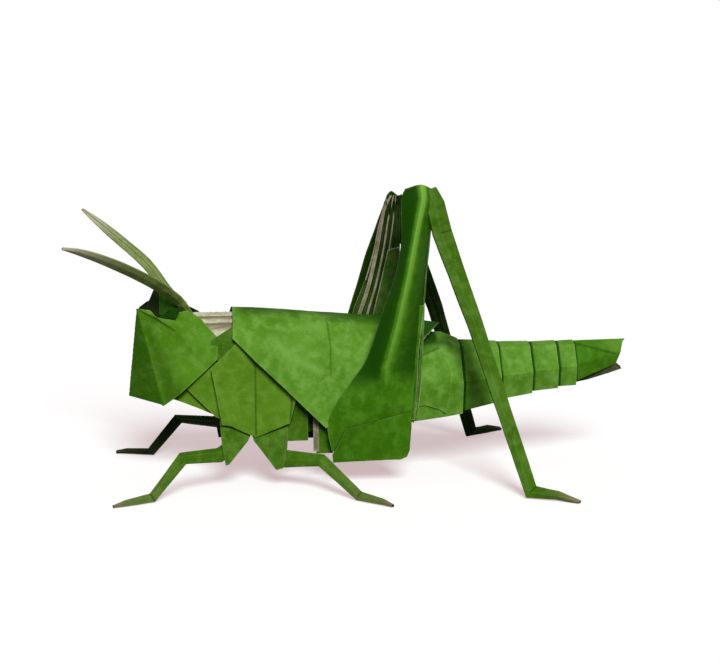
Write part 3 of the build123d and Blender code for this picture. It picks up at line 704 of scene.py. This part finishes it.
def abdomen_tones(places):
    """Painted shade in the front's hollows and behind each ring's edge, light before it."""
    along = (places[:, 0] - abdomen(0, 0, 0).x) / ABDOMEN_LENGTH
    tone = marked(abdomen, places, ABDOMEN_MARK_SHARES) + np.interp(along, *RING_TONES)
    for station in ABDOMEN_SHARES[PROUD_FROM:]:
        behind = (places[:, 0] - abdomen(station[0], 0, 0).x) / MM
        tone += np.interp(behind, *RING_EDGE_TONES)
    return tone


def tail_tones(places):
    """Painted shade where the end piece comes out of the last ring, pale above its crease."""
    start = abdomen(0, 0, 0)
    along = (places[:, 0] - start.x) / ABDOMEN_LENGTH
    up = (places[:, 2] - start.z) / ABDOMEN_HEIGHT
    crease = np.interp(along, *zip(*TAIL_CREASE_SHARES[0]))
    above = np.clip((up - crease) / TAIL_CREASE_SOFT_SHARE, 0, 1)
    ring = np.interp(along - ABDOMEN_SHARES[-1][0], *TAIL_RING_TONES)
    return ring + TAIL_PALE * above * np.interp(along, *TAIL_PALE_SHARES)


def skin(u, w):
    """A point just outside the abdomen's side, at a place along it and a height."""
    stations = list(zip(*ABDOMEN_SHARES))
    half, ridge, keel = (np.interp(u, stations[0], values) for values in stations[1:])
    outs, ups = zip(*reversed(SECTION_SHARES[:SIDE_POINTS]))
    out = half * np.interp((w - keel) / (ridge - keel), ups, outs)
    return abdomen(u, out, w) - Vector((0, PANEL_LIFT, 0))


def trunk():
    rings = [abdomen_ring(*station, proud=0) for station in ABDOMEN_SHARES[:PROUD_FROM]]
    front = rings[0]
    for i, station in enumerate(ABDOMEN_SHARES[PROUD_FROM:]):
        rings.append(abdomen_ring(*station, proud=PLEAT_STEP))
        sheet(f"abdomen_ring_{i + 1}", rings, "green", cell=FINE_CELL, wave=TAUT_SHARE, soft=0, lined=False,
              tones=abdomen_tones, creases=side_lines(abdomen, PANEL_CREASE_SHARES))
        tucked = abdomen_ring(*station, proud=-PLEAT_STEP)
        rings = [[p - Vector((PLEAT_LAP, 0, 0)) for p in tucked]]
    rings.append([abdomen(*shares) for shares in TAIL_SHARES])
    sheet("abdomen_tip", rings, "deep", wave=TAUT_SHARE, soft=0, lined=False, tones=tail_tones,
          creases=side_lines(abdomen, TAIL_CREASE_SHARES))
    # The flank lies in shadow behind the thigh and saddle: painted shade
    sheet("flank", rows_in(body, FLANK_SHARES) + [front[1:]], "shade", wave=LOOSE_SHARE)
    sheet("flank_panel", rows_in(body, FLANK_PANEL_SHARES), "leg", wave=LOOSE_SHARE)
    rows = []
    for (u, w), (low_u, low_w) in zip(*PANEL_SHARES):
        steps = [k / PANEL_STEPS for k in range(PANEL_STEPS + 1)]
        rows.append([skin(u + (low_u - u) * step, w + (low_w - w) * step) for step in steps])
    sheet("abdomen_panel", rows, "green", wave=STIFF_SHARE, soft=0, lined=False)
    sheet("hind_hip_plate", rows_in(body, HIND_PLATE_SHARES), "leg", flipped=True)
    sheet("hind_hip_edge", rows_in(body, HIND_EDGE_SHARES), "raw layer", flipped=True)


# Head: a hood of creased cheeks, with a web of layers between the antennae

HEAD_SHARES = {
    "brow": (0.9, 0, 1), "chin front": (1.012, 0, 0.06), "chin": (0.627, 0.667, 0),
    "mouth": (0.6, 0, 0.06), "jaw": (0.433, 0.9, 0.145), "cheek low": (0.122, 1, 0.417),
    "cheek rear": (0.02, 1.02, 0.51), "fold front": (0.475, 0.54, 0.791),
    "fold rear": (0.204, 0.84, 0.657), "nape low": (0, 0.86, 0.72), "nape high": (0.193, 0.6, 0.926),
    "crown": (0.334, 0.48, 1), "notch": (0.67, 0.34, 0.918), "brim": (0.745, 0.14, 0.99),
}
HEAD_FACETS = (
    ("brow", "chin front", "chin"), ("brow", "chin", "jaw"), ("brow", "jaw", "cheek low"),
    ("brow", "cheek low", "fold front"), ("fold front", "cheek low", "cheek rear", "fold rear"),
    ("brow", "fold front", "notch", "brim"), ("fold front", "fold rear", "crown", "notch"),
    ("fold rear", "nape high", "crown"), ("fold rear", "cheek rear", "nape low", "nape high"),
    ("chin front", "mouth", "chin"),
)
WEB_SHARES = (
    (0.87, 0.93), (0.868, 1), (0.77, 1.01), (0.755, 1.075), (0.702, 1.19), (0.56, 1.21), (0.4, 1.12),
    (0.33, 1.05), (0.28, 0.86), (0.74, 0.8),
)
WEB_LEAF_SHARES = ((0.64, 0.93), (0.64, 1.16), (0.56, 1.2), (0.4, 1.115), (0.33, 1.04), (0.28, 0.86))
# Painted shade on the head's front: millimetres behind the chin's crease and the tones there, and how they
# fade behind the jaw's
CHIN_TONES = ((-0.4, 0, 0.3, 1.6), (0.6, 0.55, 0.25, 0.48))
JAW_TONE_SHARES = ((-0.6, 1.5, 6.0), (1, 0.8, 0))
BROW_FADE_SHARE = 0.06
# Corners of a dark sheet on the crown: a painted shadow of the near antenna
ANTENNA_SHADOW_SHARES = ((0.65, 0.37, 0.927), (0.521, 0.27, 1.013), (0.387, 0.38, 1.025), (0.47, 0.56, 0.923))
WEB_LEAF_GAP = 0.45 * MM


def plate(name, place, shares, shift, look):
    """A flat leaf in the plane of symmetry, moved to the far side by shift."""
    points = {str(i): place(u, 0, w) + Vector((0, shift, 0)) for i, (u, w) in enumerate(shares)}
    paper(name, points, [tuple(points)], look, cell=FINE_CELL)


def plates(near, far, place, shares, gap, look):
    """Two flat leaves, one on each side of the plane of symmetry."""
    plate(near, place, shares[::-1], -gap, look)
    plate(far, place, shares, gap, look)


def leaf(name, place, shares, look, cell=FINE_CELL):
    """A small flat sheet on each side, given clockwise from its left corner."""
    points = {str(i): place(*corner) for i, corner in enumerate(reversed(shares))}
    paper(name, *paired(points, [tuple(points)]), look, cell=cell)


def head_tones(places):
    """Painted shade, darkest in front of the chin's crease, then fading past the jaw's."""
    brow, chin, jaw = (head(*HEAD_SHARES[name]) for name in ("brow", "chin", "jaw"))
    drop = (brow.z - places[:, 2]) / (brow.z - chin.z)
    front = brow.x + (chin.x - brow.x) * drop
    rear = brow.x + (jaw.x - brow.x) * drop * (brow.z - chin.z) / (brow.z - jaw.z)
    past = (places[:, 0] - front) / MM
    past_jaw = (places[:, 0] - rear) / MM
    tone = np.interp(past, *CHIN_TONES)
    return tone * np.interp(past_jaw, *JAW_TONE_SHARES) * np.clip(drop / BROW_FADE_SHARE, 0, 1)


def hood():
    points = {name: head(*shares) for name, shares in HEAD_SHARES.items()}
    paper("head", *paired(points, HEAD_FACETS), "head", wave=TAUT_SHARE, tones=head_tones)
    # The web is near black and its leaves dark green: painted shade between the antennae's bases
    plate("web", head, WEB_SHARES[::-1], 0, "inner")
    plates("web_leaf_near", "web_leaf_far", head, WEB_LEAF_SHARES, WEB_LEAF_GAP, "shade")
    # A painted shadow of the antenna, laid as a dark sheet on the crown
    leaf("antenna_shadow_sheet", head, ANTENNA_SHADOW_SHARES, "crown")


def tail_flap():
    plates("tail_layer", "tail_layer_far", abdomen, TAIL_FLAP_SHARES, PAPER, "tail layer")


# Strips: a folded strip is ridged outside, and its two cut edges meet inside

STRIP_SHARES = (
    (-0.04, -0.3), (-0.4, -0.45), (-1, -0.25), (-1, 0.2), (0.2, 0.5), (1, 0.2), (1, -0.25), (0.4, -0.45),
    (0.04, -0.3),
)
MITRE_LIMIT = 0.6


def strip_rows(path, widths, thick, outward):
    """Sections of a folded strip at each station of its path."""
    outward = Vector(outward)
    rows = []
    for i, point in enumerate(path):
        before = (path[max(i, 1)] - path[max(i, 1) - 1]).normalized()
        last = min(i, len(path) - 2)
        after = (path[last + 1] - path[last]).normalized()
        along = (before + after).normalized()
        out = (outward - along * outward.dot(along)).normalized()
        across = along.cross(out)
        half = widths[i] / 2 / max(along.dot(after), MITRE_LIMIT)
        rows.append([point + across * (a * half) + out * (d * thick) for a, d in STRIP_SHARES])
    return rows


def strip(name, side, path, width, width_shares, thick, outward, tones, look, smooth=False):
    """A strip folded along a path, smooth or with kinks, with a tone at each station."""
    rows = strip_rows(path, [share * width for share in width_shares], thick, outward)
    if smooth:
        rows = curved(rows)
        tones = np.interp(np.arange(len(rows)) / (len(rows) - 1), np.linspace(0, 1, len(tones)), tones)
    fine = []
    shades = []
    for i, (a, b) in enumerate(zip(rows, rows[1:])):
        steps = max(1, math.ceil((b[0] - a[0]).length / FINE_CELL))
        for k in range(steps):
            fine.append([p + (q - p) * (k / steps) for p, q in zip(a, b)])
            shades.append(tones[i] + (tones[i + 1] - tones[i]) * k / steps)
    fine.append(rows[-1])
    shades.append(tones[-1])
    points, facets = to_side(side, *grid(fine))
    tone = {f"p {i} {j}": shade for i, shade in enumerate(shades) for j in range(len(fine[0]))}
    paper(name, points, facets, look, FINE_PAPER, FINE_CELL, soft=0, wave=STIFF_SHARE, tones=tone)


# Antennae: curved strips from the crown

ANTENNA_PATH_SHARES = (
    ((-0.07, -0.1, -0.22), (0.05, 0.02, 0.1), (0.17, 0.18, 0.28), (0.33, 0.4, 0.48), (0.6, 0.68, 0.74),
     (0.84, 0.88, 0.92), (1, 1, 1)),
    ((-0.08, -0.1, -0.18), (0.04, 0.02, 0.01), (0.18, 0.15, 0.16), (0.38, 0.38, 0.44), (0.69, 0.69, 0.73),
     (0.87, 0.87, 0.89), (1, 1, 1)),
)
ANTENNA_WIDTH_SHARES = (0.55, 0.75, 1, 1.1, 1, 0.72, 0.25)
ANTENNA_OUT_SHARES = (-0.35, -0.8, -0.45)
ANTENNA_ROOT_SHARE = 0.15
ANTENNA_TONES = (0.1, 0.1, 0.15, 0.2, 0.35, 0.7, 1)
SIDES = ("near", "far")
LEG_LOOKS = ("leg", "far leg")


def antenna(side):
    root = head(*HEAD_SHARES["crown"]) + Vector((0, HEAD_HALF_WIDTH * ANTENNA_ROOT_SHARE, 0))
    path = [root + Vector((-u * ANTENNA_REACH[side], -v * ANTENNA_SPREAD, w * ANTENNA_RISE[side]))
            for u, v, w in ANTENNA_PATH_SHARES[side]]
    strip(f"antenna_{SIDES[side]}", side, path, ANTENNA_WIDTH[side], ANTENNA_WIDTH_SHARES, ANTENNA_THICK,
          ANTENNA_OUT_SHARES, ANTENNA_TONES, "feeler", smooth=True)


# Neck: a roof of lengthwise pleats, and throat panels

# Each pleat of the roof: its front and rear end, and its tone
NECK_FRONT_SHARES = (
    (0.36, 0, 0.95), (0.36, 0.2, 0.93), (0.36, 0.19, 0.9), (0.36, 0.38, 0.865), (0.36, 0.37, 0.83),
    (0.34, 0.6, 0.76), (0.3, 0.74, 0.62), (0.26, 0.8, 0.42),
)
NECK_REAR_SHARES = (
    (0.055, 0, 0.955), (0.054, 0.17, 0.944), (0.053, 0.18, 0.926), (0.052, 0.36, 0.905),
    (0.05, 0.36, 0.885), (0.046, 0.6, 0.845), (0.04, 0.66, 0.73), (0.02, 0.76, 0.5),
)
NECK_TONES = (0, 0, 0.8, 0, 0.8, 0.15, 1, 1)
NECK_FLAP_SHARES = (
    (-0.115, 0.63, 0.765), (-0.01, 0.66, 0.882), (0.012, 0.68, 0.76), (-0.06, 0.72, 0.6),
    (-0.105, 0.7, 0.62),
)
THROAT_HEAD_SHARES = ((0.62, 0.3, 0.48), (0.52, 0.55, 0.06))
THROAT_BODY_SHARES = ((-0.06, 0.54, 0.62), (-0.055, 0.74, 0.13))
THROAT_FLAP_SHARES = (
    (-0.236, 0.52, 0.385), (-0.13, 0.62, 0.6), (-0.085, 0.64, 0.6), (-0.05, 0.8, 0.13),
    (-0.095, 0.78, 0.15),
)


def neck():
    front = [head(*shares) for shares in NECK_FRONT_SHARES]
    rear = [body(*shares) for shares in NECK_REAR_SHARES]
    tones = {f"p {i} {j}": tone for i in (0, 1) for j, tone in enumerate(NECK_TONES)}
    tones.update({f"{key} far": tone for key, tone in tones.items()})
    paper("neck", *paired(*grid([front, rear])), "neck", FINE_PAPER, FINE_CELL, soft=0, tones=tones)
    leaf("neck_flap", body, NECK_FLAP_SHARES, "leg")


def throat():
    front = [head(*shares) for shares in THROAT_HEAD_SHARES]
    rear = [body(*shares) for shares in THROAT_BODY_SHARES]
    for row in (front, rear):
        row.append(Vector((row[-1].x, ORIGIN.y, row[-1].z)))
    sheet("throat", [front, rear], "olive")
    leaf("throat_flap", body, THROAT_FLAP_SHARES, "olive", CELL)


# Walking legs: a folded hip plate, and a strip with its knee, ankle and toe
# Points are shares of reach, spread and the hip's height above the ground

FORE_HIP_SHARES = (-0.028, 0.93, 0.085)
FORE_COXA_SHARES = (
    ((0.095, -0.3, 1.55), (-0.17, -0.2, 1.4)), ((0.088, -0.07, 1), (-0.19, -0.05, 0.93)),
    ((0.08, 0.14, 0.72), (-0.14, 0.05, 0.76)), ((0.052, 0.21, 0.42), (0.025, 0.2, 0.43)),
)
FORE_TOP_SHARES = (
    ((0.03, -0.02, 0.63), (0.105, 0.13, 0.575), (0.418, 0.56, 0.645)),
    ((0, 0, 0.76), (0.085, 0.13, 0.7), (0.418, 0.56, 0.675)),
)
FORE_FOOT_SHARES = ((0.68, 0.728, 0.075), (0.9, 0.92, 0.05), (1, 1, 0.025))
MID_HIP_SHARES = (0.248, 0.98, 0.106)
MID_COXA_SHARES = (
    ((-0.36, -0.12, 1.25), (-0.02, -0.1, 1.2)), ((-0.44, -0.06, 0.92), (-0.012, -0.04, 0.95)),
    ((-0.4, 0.02, 0.74), (-0.035, 0.06, 0.64)), ((-0.165, 0.12, 0.31), (-0.085, 0.11, 0.33)),
)
MID_PATH_SHARES = (
    (-0.13, -0.03, 0.48), (-0.045, 0.05, 0.455), (0.31, 0.345, 0.52), (0.68, 0.69, 0.075),
    (0.91, 0.9, 0.05), (1, 1, 0.025),
)
FORE_WIDTH_SHARES = (1.25, 1.3, 1, 0.8, 0.62, 0.34)
MID_WIDTH_SHARES = (1.35, 1.55, 1.08, 0.82, 0.62, 0.34)
LEG_OUT_SHARES = (0.15, -1, 0.35)
LEG_TONES = (0, 0, 0.1, 0.35, 0.45, 1)


def walking_leg(name, side, hip_shares, reach, spread, coxa_shares, path_shares, width_shares):
    hip = body(*hip_shares)

    def place(u, v, w):
        return Vector((hip.x + u * reach, hip.y - v * spread, w * hip.z))

    label = f"{name}_{SIDES[side]}"
    # The far hip plates take the shade look: painted shade
    look = "leg" if side == 0 else "shade"
    sheet(f"hip_plate_{label}", rows_in(place, coxa_shares), look, side, flipped=True)
    x, y, z = LEG_OUT_SHARES
    strip(f"leg_{label}", side, [place(*shares) for shares in path_shares], LEG_WIDTH, width_shares,
          LEG_THICK, (math.copysign(x, reach), y, z), LEG_TONES, LEG_LOOKS[side])


def fore_leg(side):
    walking_leg("fore", side, FORE_HIP_SHARES, -FORE_REACH[side], FORE_SPREAD[side],
                FORE_COXA_SHARES, FORE_TOP_SHARES[side] + FORE_FOOT_SHARES, FORE_WIDTH_SHARES)


def mid_leg(side):
    walking_leg("mid", side, MID_HIP_SHARES, MID_REACH[side], MID_SPREAD[side],
                MID_COXA_SHARES, MID_PATH_SHARES, MID_WIDTH_SHARES)


# Hind thigh: a ridged outer layer, spread into a flap below, over a stack of pleats
# Points are shares of the thigh's width, its bulge and the knee's height

HIND_HIP_SHARES = (0.8, 0.8, 0)
KNEE_CENTRE_SHARE = 0.18
PINCH_FROM_SHARE = 0.7
THIGH_EDGE_SHARES = (
    ((0, -0.1, 0.985), (0.19, 0, 1), (0.345, -0.1, 0.982)),
    ((-0.045, -0.14, 0.945), (0.2, 0.22, 0.955), (0.36, -0.14, 0.945)),
    ((-0.05, -0.02, 0.815), (0.09, 0.46, 0.818), (0.325, -0.16, 0.82)),
    ((-0.135, 0.12, 0.7), (0.01, 0.62, 0.715), (0.285, -0.06, 0.72)),
    ((-0.31, 0.27, 0.572), (-0.13, 0.8, 0.552), (0.245, 0.06, 0.607)),
    ((-0.49, 0.43, 0.435), (-0.29, 1.04, 0.408), (0.15, 0.3, 0.474)),
)
RIDGE_ROWS = 7
# Millimetres behind the ridge and the tones there, a painted highlight on it and painted shade beside it,
# and how strong the highlight is at foot and knee
RIDGE_SIDES = (-2.4, -1.2, -0.6, 0.0, 0.9, 1.9, 5.0)
RIDGE_TONES = (0.92, 0.72, -0.05, -0.9, -0.65, 0.42, 0.7)
RIDGE_HIGHLIGHT_SHARES = (0.45, 1.25)
FADE_BELOW = 2.0 * MM
FADE_LENGTH = 6.0 * MM
# How far the far thigh's left edge stands further forward
FAR_EDGE_SHARES = (-0.03, -0.02, 0.09, 0.08, 0.03, 0.02)
# The layer goes on below the ridge's foot, behind the flap
SKIRT_SHARES = (
    ((-0.655, 0.57, 0.371), (-0.3, 1.04, 0.34), (0.095, 0.46, 0.35)),
    ((-0.86, 0.68, 0.299), (-0.42, 0.98, 0.27), (0.04, 0.78, 0.262)),
    ((-0.985, 0.58, 0.215), (-0.6, 0.84, 0.19), (0.01, 0.68, 0.19)),
    ((-0.93, 0.5, 0.12), (-0.6, 0.62, 0.112), (-0.06, 0.62, 0.116)),
)
FLAP_SHARES = {
    "fold left": (-0.775, 1.06, 0.209), "fold middle": (-0.38, 1.09, 0.233),
    "fold right": (0.036, 0.96, 0.258), "hem high": (-0.93, 0.72, 0.11), "hem left": (-0.92, 0.68, 0.084),
    "hem right": (-0.095, 0.86, 0.091), "corner low": (-0.01, 0.82, 0.1), "corner": (0.026, 0.78, 0.122),
    "right edge": (0.042, 0.8, 0.202), "hem left inside": (-0.88, -0.1, 0.095),
    "hem right inside": (-0.095, -0.05, 0.098), "back top": (0.036, 0.5, 0.25),
    "back low": (0.02, 0.5, 0.124),
}
FLAP_FACETS = (
    ("fold left", "hem high", "fold middle"), ("hem high", "hem left", "hem right", "fold middle"),
    ("fold middle", "hem right", "fold right"),
    ("fold right", "hem right", "corner low", "corner", "right edge"),
    ("hem left", "hem left inside", "hem right inside", "hem right"),
    ("fold right", "right edge", "corner", "back low", "back top"),
)
STACK_SHARES = (
    ((0.085, -0.08, 0.985), (0.295, -0.08, 0.982), 0.7), ((0, -0.12, 0.96), (0.37, -0.11, 0.95), 1),
    ((-0.03, 0, 0.815), (0.31, -0.1, 0.815), 1), ((-0.115, 0.13, 0.7), (0.268, 0, 0.71), 1.1),
    ((-0.285, 0.28, 0.57), (0.228, 0.13, 0.59), 1.4), ((-0.38, 0.45, 0.44), (0.18, 0.41, 0.45), 2.3),
    ((-0.17, 0.52, 0.33), (0.15, 0.43, 0.33), 2.6), ((-0.06, 0.48, 0.265), (0.13, 0.43, 0.265), 2.6),
    ((0, 0.42, 0.205), (0.1, 0.4, 0.205), 2.3),
)
# Right edges of two layers that show beside the outer one, from the top down
LAYER_SHARES = (
    ((0.238, 0.14, 0.6), (0.225, 0.2, 0.5), (0.21, 0.26, 0.42), (0.195, 0.28, 0.33), (0.15, 0.3, 0.22)),
    ((0.225, 0.22, 0.6), (0.18, 0.32, 0.5), (0.15, 0.38, 0.42), (0.136, 0.42, 0.33), (0.1, 0.44, 0.215)),
)
LAYER_WIDTH_SHARE = 0.24
# Raw layers of the inner side: centre line, and width in shares of the thigh's width
RIBBON_SHARES = (
    (((0.15, -0.3, 0.985), (0.01, -0.36, 0.93), (-0.05, -0.38, 0.8), (-0.12, -0.34, 0.66),
      (-0.24, -0.28, 0.55), (-0.29, -0.2, 0.48)), 0.05),
    (((0.215, -0.3, 0.985), (0.1, -0.37, 0.9), (0.04, -0.39, 0.78), (-0.03, -0.35, 0.66),
      (-0.13, -0.3, 0.56), (-0.19, -0.22, 0.48)), 0.026),
    (((0.27, -0.3, 0.985), (0.22, -0.37, 0.93), (0.17, -0.39, 0.86), (0.13, -0.38, 0.79)), 0.02),
    (((0.06, -0.31, 0.975), (-0.05, -0.37, 0.9), (-0.1, -0.38, 0.78), (-0.16, -0.34, 0.68)), 0.018),
)
# How far each thigh's raw layers are tucked back and outwards, behind the pleats' edge
TUCK_SHARES = ((0.07, 0.06), (0, 0))
INNER_PANEL_SHARES = (
    ((0.11, -0.4, 0.79), (0.3, -0.36, 0.8)), ((0.02, -0.36, 0.66), (0.27, -0.34, 0.68)),
    ((-0.06, -0.32, 0.56), (0.22, -0.3, 0.57)), ((-0.11, -0.24, 0.48), (0.18, -0.24, 0.48)),
)
PLEAT_SHARES = (
    (0, 0), (0.12, 0.85), (0.25, 0.3), (0.38, 0.95), (0.5, 0.4), (0.63, 1), (0.76, 0.3), (0.89, 0.8),
    (1, 0),
)


def thigh_place(side):
    """A function from shares to a hind thigh's point, on the near side."""
    hip = body(*HIND_HIP_SHARES)

    def place(u, v, w):
        pinch = KNEE_PINCH_SHARE[side] * max(0, w - PINCH_FROM_SHARE) / (1 - PINCH_FROM_SHARE)
        u += (KNEE_CENTRE_SHARE - u) * pinch
        return Vector((hip.x + HIND_SHIFT[side] + u * THIGH_WIDTH,
                       hip.y - v * THIGH_BULGE, w * KNEE_HEIGHT[side]))
    return place


def rounded(row):
    """A section with points added on a smooth curve through its own."""
    return [p for p, in curved([[p] for p in row])]


def thigh_tones(ridge):
    """A painted highlight on the ridge, painted shade on its left and towards the right edge."""
    heights = [p.z for p in reversed(ridge)]
    across = [p.x for p in reversed(ridge)]

    def tones(places):
        beside = (places[:, 0] - np.interp(places[:, 2], heights, across)) / MM
        fade = np.clip((places[:, 2] - heights[0] + FADE_BELOW) / FADE_LENGTH, 0, 1)
        tone = np.interp(beside, RIDGE_SIDES, RIDGE_TONES)
        glow = np.interp(places[:, 2], (heights[0], heights[-1]), RIDGE_HIGHLIGHT_SHARES)
        return fade * np.where(tone < 0, tone * glow, tone)
    return tones


def thigh(side):
    place = thigh_place(side)
    label = SIDES[side]
    rows = rows_in(place, THIGH_EDGE_SHARES + SKIRT_SHARES)
    ridge = [row[1] for row in rows[:RIDGE_ROWS]]
    for row, forward in zip(rows, FAR_EDGE_SHARES):
        row[0].x -= forward * side * THIGH_WIDTH
    sheet(f"thigh_{label}", curved([rounded(row) for row in rows]), "deep", side, flipped=True, soft=2,
          lined=False, tones=thigh_tones(ridge))
    flap = {name: place(*shares) for name, shares in FLAP_SHARES.items()}
    paper(f"thigh_flap_{label}", *to_side(side, flap, FLAP_FACETS), "deep", wave=STIFF_SHARE, lined=False)
    for i, edge in enumerate(LAYER_SHARES):
        rows = [[place(u - LAYER_WIDTH_SHARE, v, w), place(u, v, w)] for u, v, w in edge]
        sheet(f"thigh_layer_{label}_{i + 1}", rows, "layer", side, flipped=True)
    rows = []
    for left, right, depth in STACK_SHARES:
        left, right = place(*left), place(*right)
        rows.append([right + (left - right) * across + Vector((0, deep * depth * STACK_DEPTH, 0))
                     for across, deep in PLEAT_SHARES])
    sheet(f"thigh_pleats_{label}", rows, "pleats", side, flipped=True, cell=FINE_CELL,
          thick=FINE_PAPER, soft=0)
    sheet(f"thigh_inner_panel_{label}", rows_in(place, INNER_PANEL_SHARES), "pleats", side)
    back, out = TUCK_SHARES[side]
    for i, (line, width) in enumerate(RIBBON_SHARES):
        rows = [[place(u + back + edge, v + out, w) for edge in (-width / 2, width / 2)]
                for u, v, w in line]
        sheet(f"thigh_raw_layer_{label}_{i + 1}", curved(rows), "raw layer", side, cell=FINE_CELL,
              thick=FINE_PAPER, soft=0)


# Hind shin: a long strip from the knee to the heel, and the foot

SHIN_TOP_SHARES = ((0.3, -0.12, 0.98), (0.375, -0.1, 0.932), (0.455, -0.02, 0.838))
SHIN_BEND_SHARE = 0.35
SHIN_BOW_SHARES = (0.014, 0.04)
HEEL_HEIGHT_SHARE = 0.021
FOOT_SHARES = ((0.55, 0.5, 0.019), (1, 1, 0.005))
SHIN_WIDTH_SHARES = (1.05, 1.38, 1.44, 1.14, 0.9, 0.64, 0.32)
SHIN_OUT_SHARES = (0.25, -1, 0.1)
SHIN_TONES = (0, 0, 0, 0, 0.1, 0.35, 0.9)


def shin(side):
    hip = body(*HIND_HIP_SHARES)
    tall = KNEE_HEIGHT[side]
    knee = [thigh_place(side)(*shares) for shares in SHIN_TOP_SHARES]
    heel = Vector((hip.x + HIND_SHIFT[side] + SHIN_REACH[side], hip.y - SHIN_SPREAD[side],
                   HEEL_HEIGHT_SHARE * tall))
    bend = knee[-1] + (heel - knee[-1]) * SHIN_BEND_SHARE
    bend.x += SHIN_BOW_SHARES[side] * SHIN_REACH[side]
    foot = [Vector((heel.x + u * HIND_FOOT_REACH[side], heel.y - v * HIND_FOOT_SPREAD[side], w * tall))
            for u, v, w in FOOT_SHARES]
    strip(f"shin_{SIDES[side]}", side, knee + [bend, heel] + foot, SHIN_WIDTH, SHIN_WIDTH_SHARES,
          SHIN_THICK, SHIN_OUT_SHARES, SHIN_TONES, LEG_LOOKS[side])


# Stage: floor, light and camera

FLOOR_REACH = 3.0
FLOOR_PALE = (0.64, 0.8, 0.78, 1)
FLOOR_GLOW = (0.575, 0.445, 0.458, 1)
FLOOR_BOUNCE = (0.16, 0.16, 0.16, 1)
CAMERA_PLACE = Vector((-59.4, -438.4, 118.1)) * MM
CAMERA_TARGET = Vector((2.2, -0.2, 36.05)) * MM
LENS_MM = 90.0
SENSOR_MM = 36.0
NEAREST_SEEN = 10 * MM
SUN_STRENGTH = 3.15
SUN_ANGLE = math.radians(22)
SUN_FROM = Vector((0.03, -0.79, 0.58))
WORLD_STRENGTH = 0.11
WHITE = (1, 1, 1, 1)


def seen(tree):
    """1 for rays that look at the background: camera, glossy and transmission rays."""
    path = add(tree, "ShaderNodeLightPath")
    some = maths(tree, "MAXIMUM", path.outputs["Is Camera Ray"], path.outputs["Is Glossy Ray"])
    return maths(tree, "MAXIMUM", some, path.outputs["Is Transmission Ray"])


def floor():
    mesh = bpy.data.meshes.new("floor")
    places = [(x * FLOOR_REACH, y * FLOOR_REACH, 0) for x, y in ((-1, -1), (1, -1), (1, 1), (-1, 1))]
    mesh.from_pydata(places, [], [(0, 1, 2, 3)])
    material = bpy.data.materials.new("pale_floor")
    material.use_nodes = True
    tree = material.node_tree
    tree.nodes.remove(tree.nodes["Principled BSDF"])
    pale = mixed(tree, seen(tree), FLOOR_BOUNCE, FLOOR_PALE)
    diffuse = add(tree, "ShaderNodeBsdfDiffuse", {"Color": pale})
    glow = add(tree, "ShaderNodeEmission", {"Color": FLOOR_GLOW, "Strength": seen(tree)})
    both = add(tree, "ShaderNodeAddShader", {0: diffuse.outputs[0], 1: glow.outputs[0]})
    tree.links.new(both.outputs[0], tree.nodes["Material Output"].inputs["Surface"])
    mesh.materials.append(material)
    placed("floor", mesh)


def light():
    sun = bpy.data.lights.new("key", "SUN")
    sun.energy = SUN_STRENGTH
    sun.angle = SUN_ANGLE
    placed("key", sun).rotation_euler = SUN_FROM.to_track_quat("Z", "Y").to_euler()
    world = bpy.data.worlds.new("studio")
    scene.world = world
    world.use_nodes = True
    tree = world.node_tree
    strength = ranged(tree, seen(tree), 0.0, 1.0, WORLD_STRENGTH, 1.0)
    background = tree.nodes["Background"].inputs
    tree.links.new(strength, background["Strength"])
    background["Color"].default_value = WHITE


def camera():
    lens = bpy.data.cameras.new("camera")
    lens.lens = LENS_MM
    lens.sensor_width = SENSOR_MM
    lens.sensor_fit = "HORIZONTAL"
    lens.clip_start = NEAREST_SEEN
    obj = placed("camera", lens)
    obj.location = CAMERA_PLACE
    obj.rotation_euler = (CAMERA_TARGET - CAMERA_PLACE).to_track_quat("-Z", "Y").to_euler()
    scene.camera = obj


scene.view_settings.view_transform = "Standard"
camera()
light()
floor()
saddle()
thorax()
trunk()
tail_flap()
hood()
neck()
throat()
for side in (0, 1):
    antenna(side)
    fore_leg(side)
    mid_leg(side)
    thigh(side)
    shin(side)
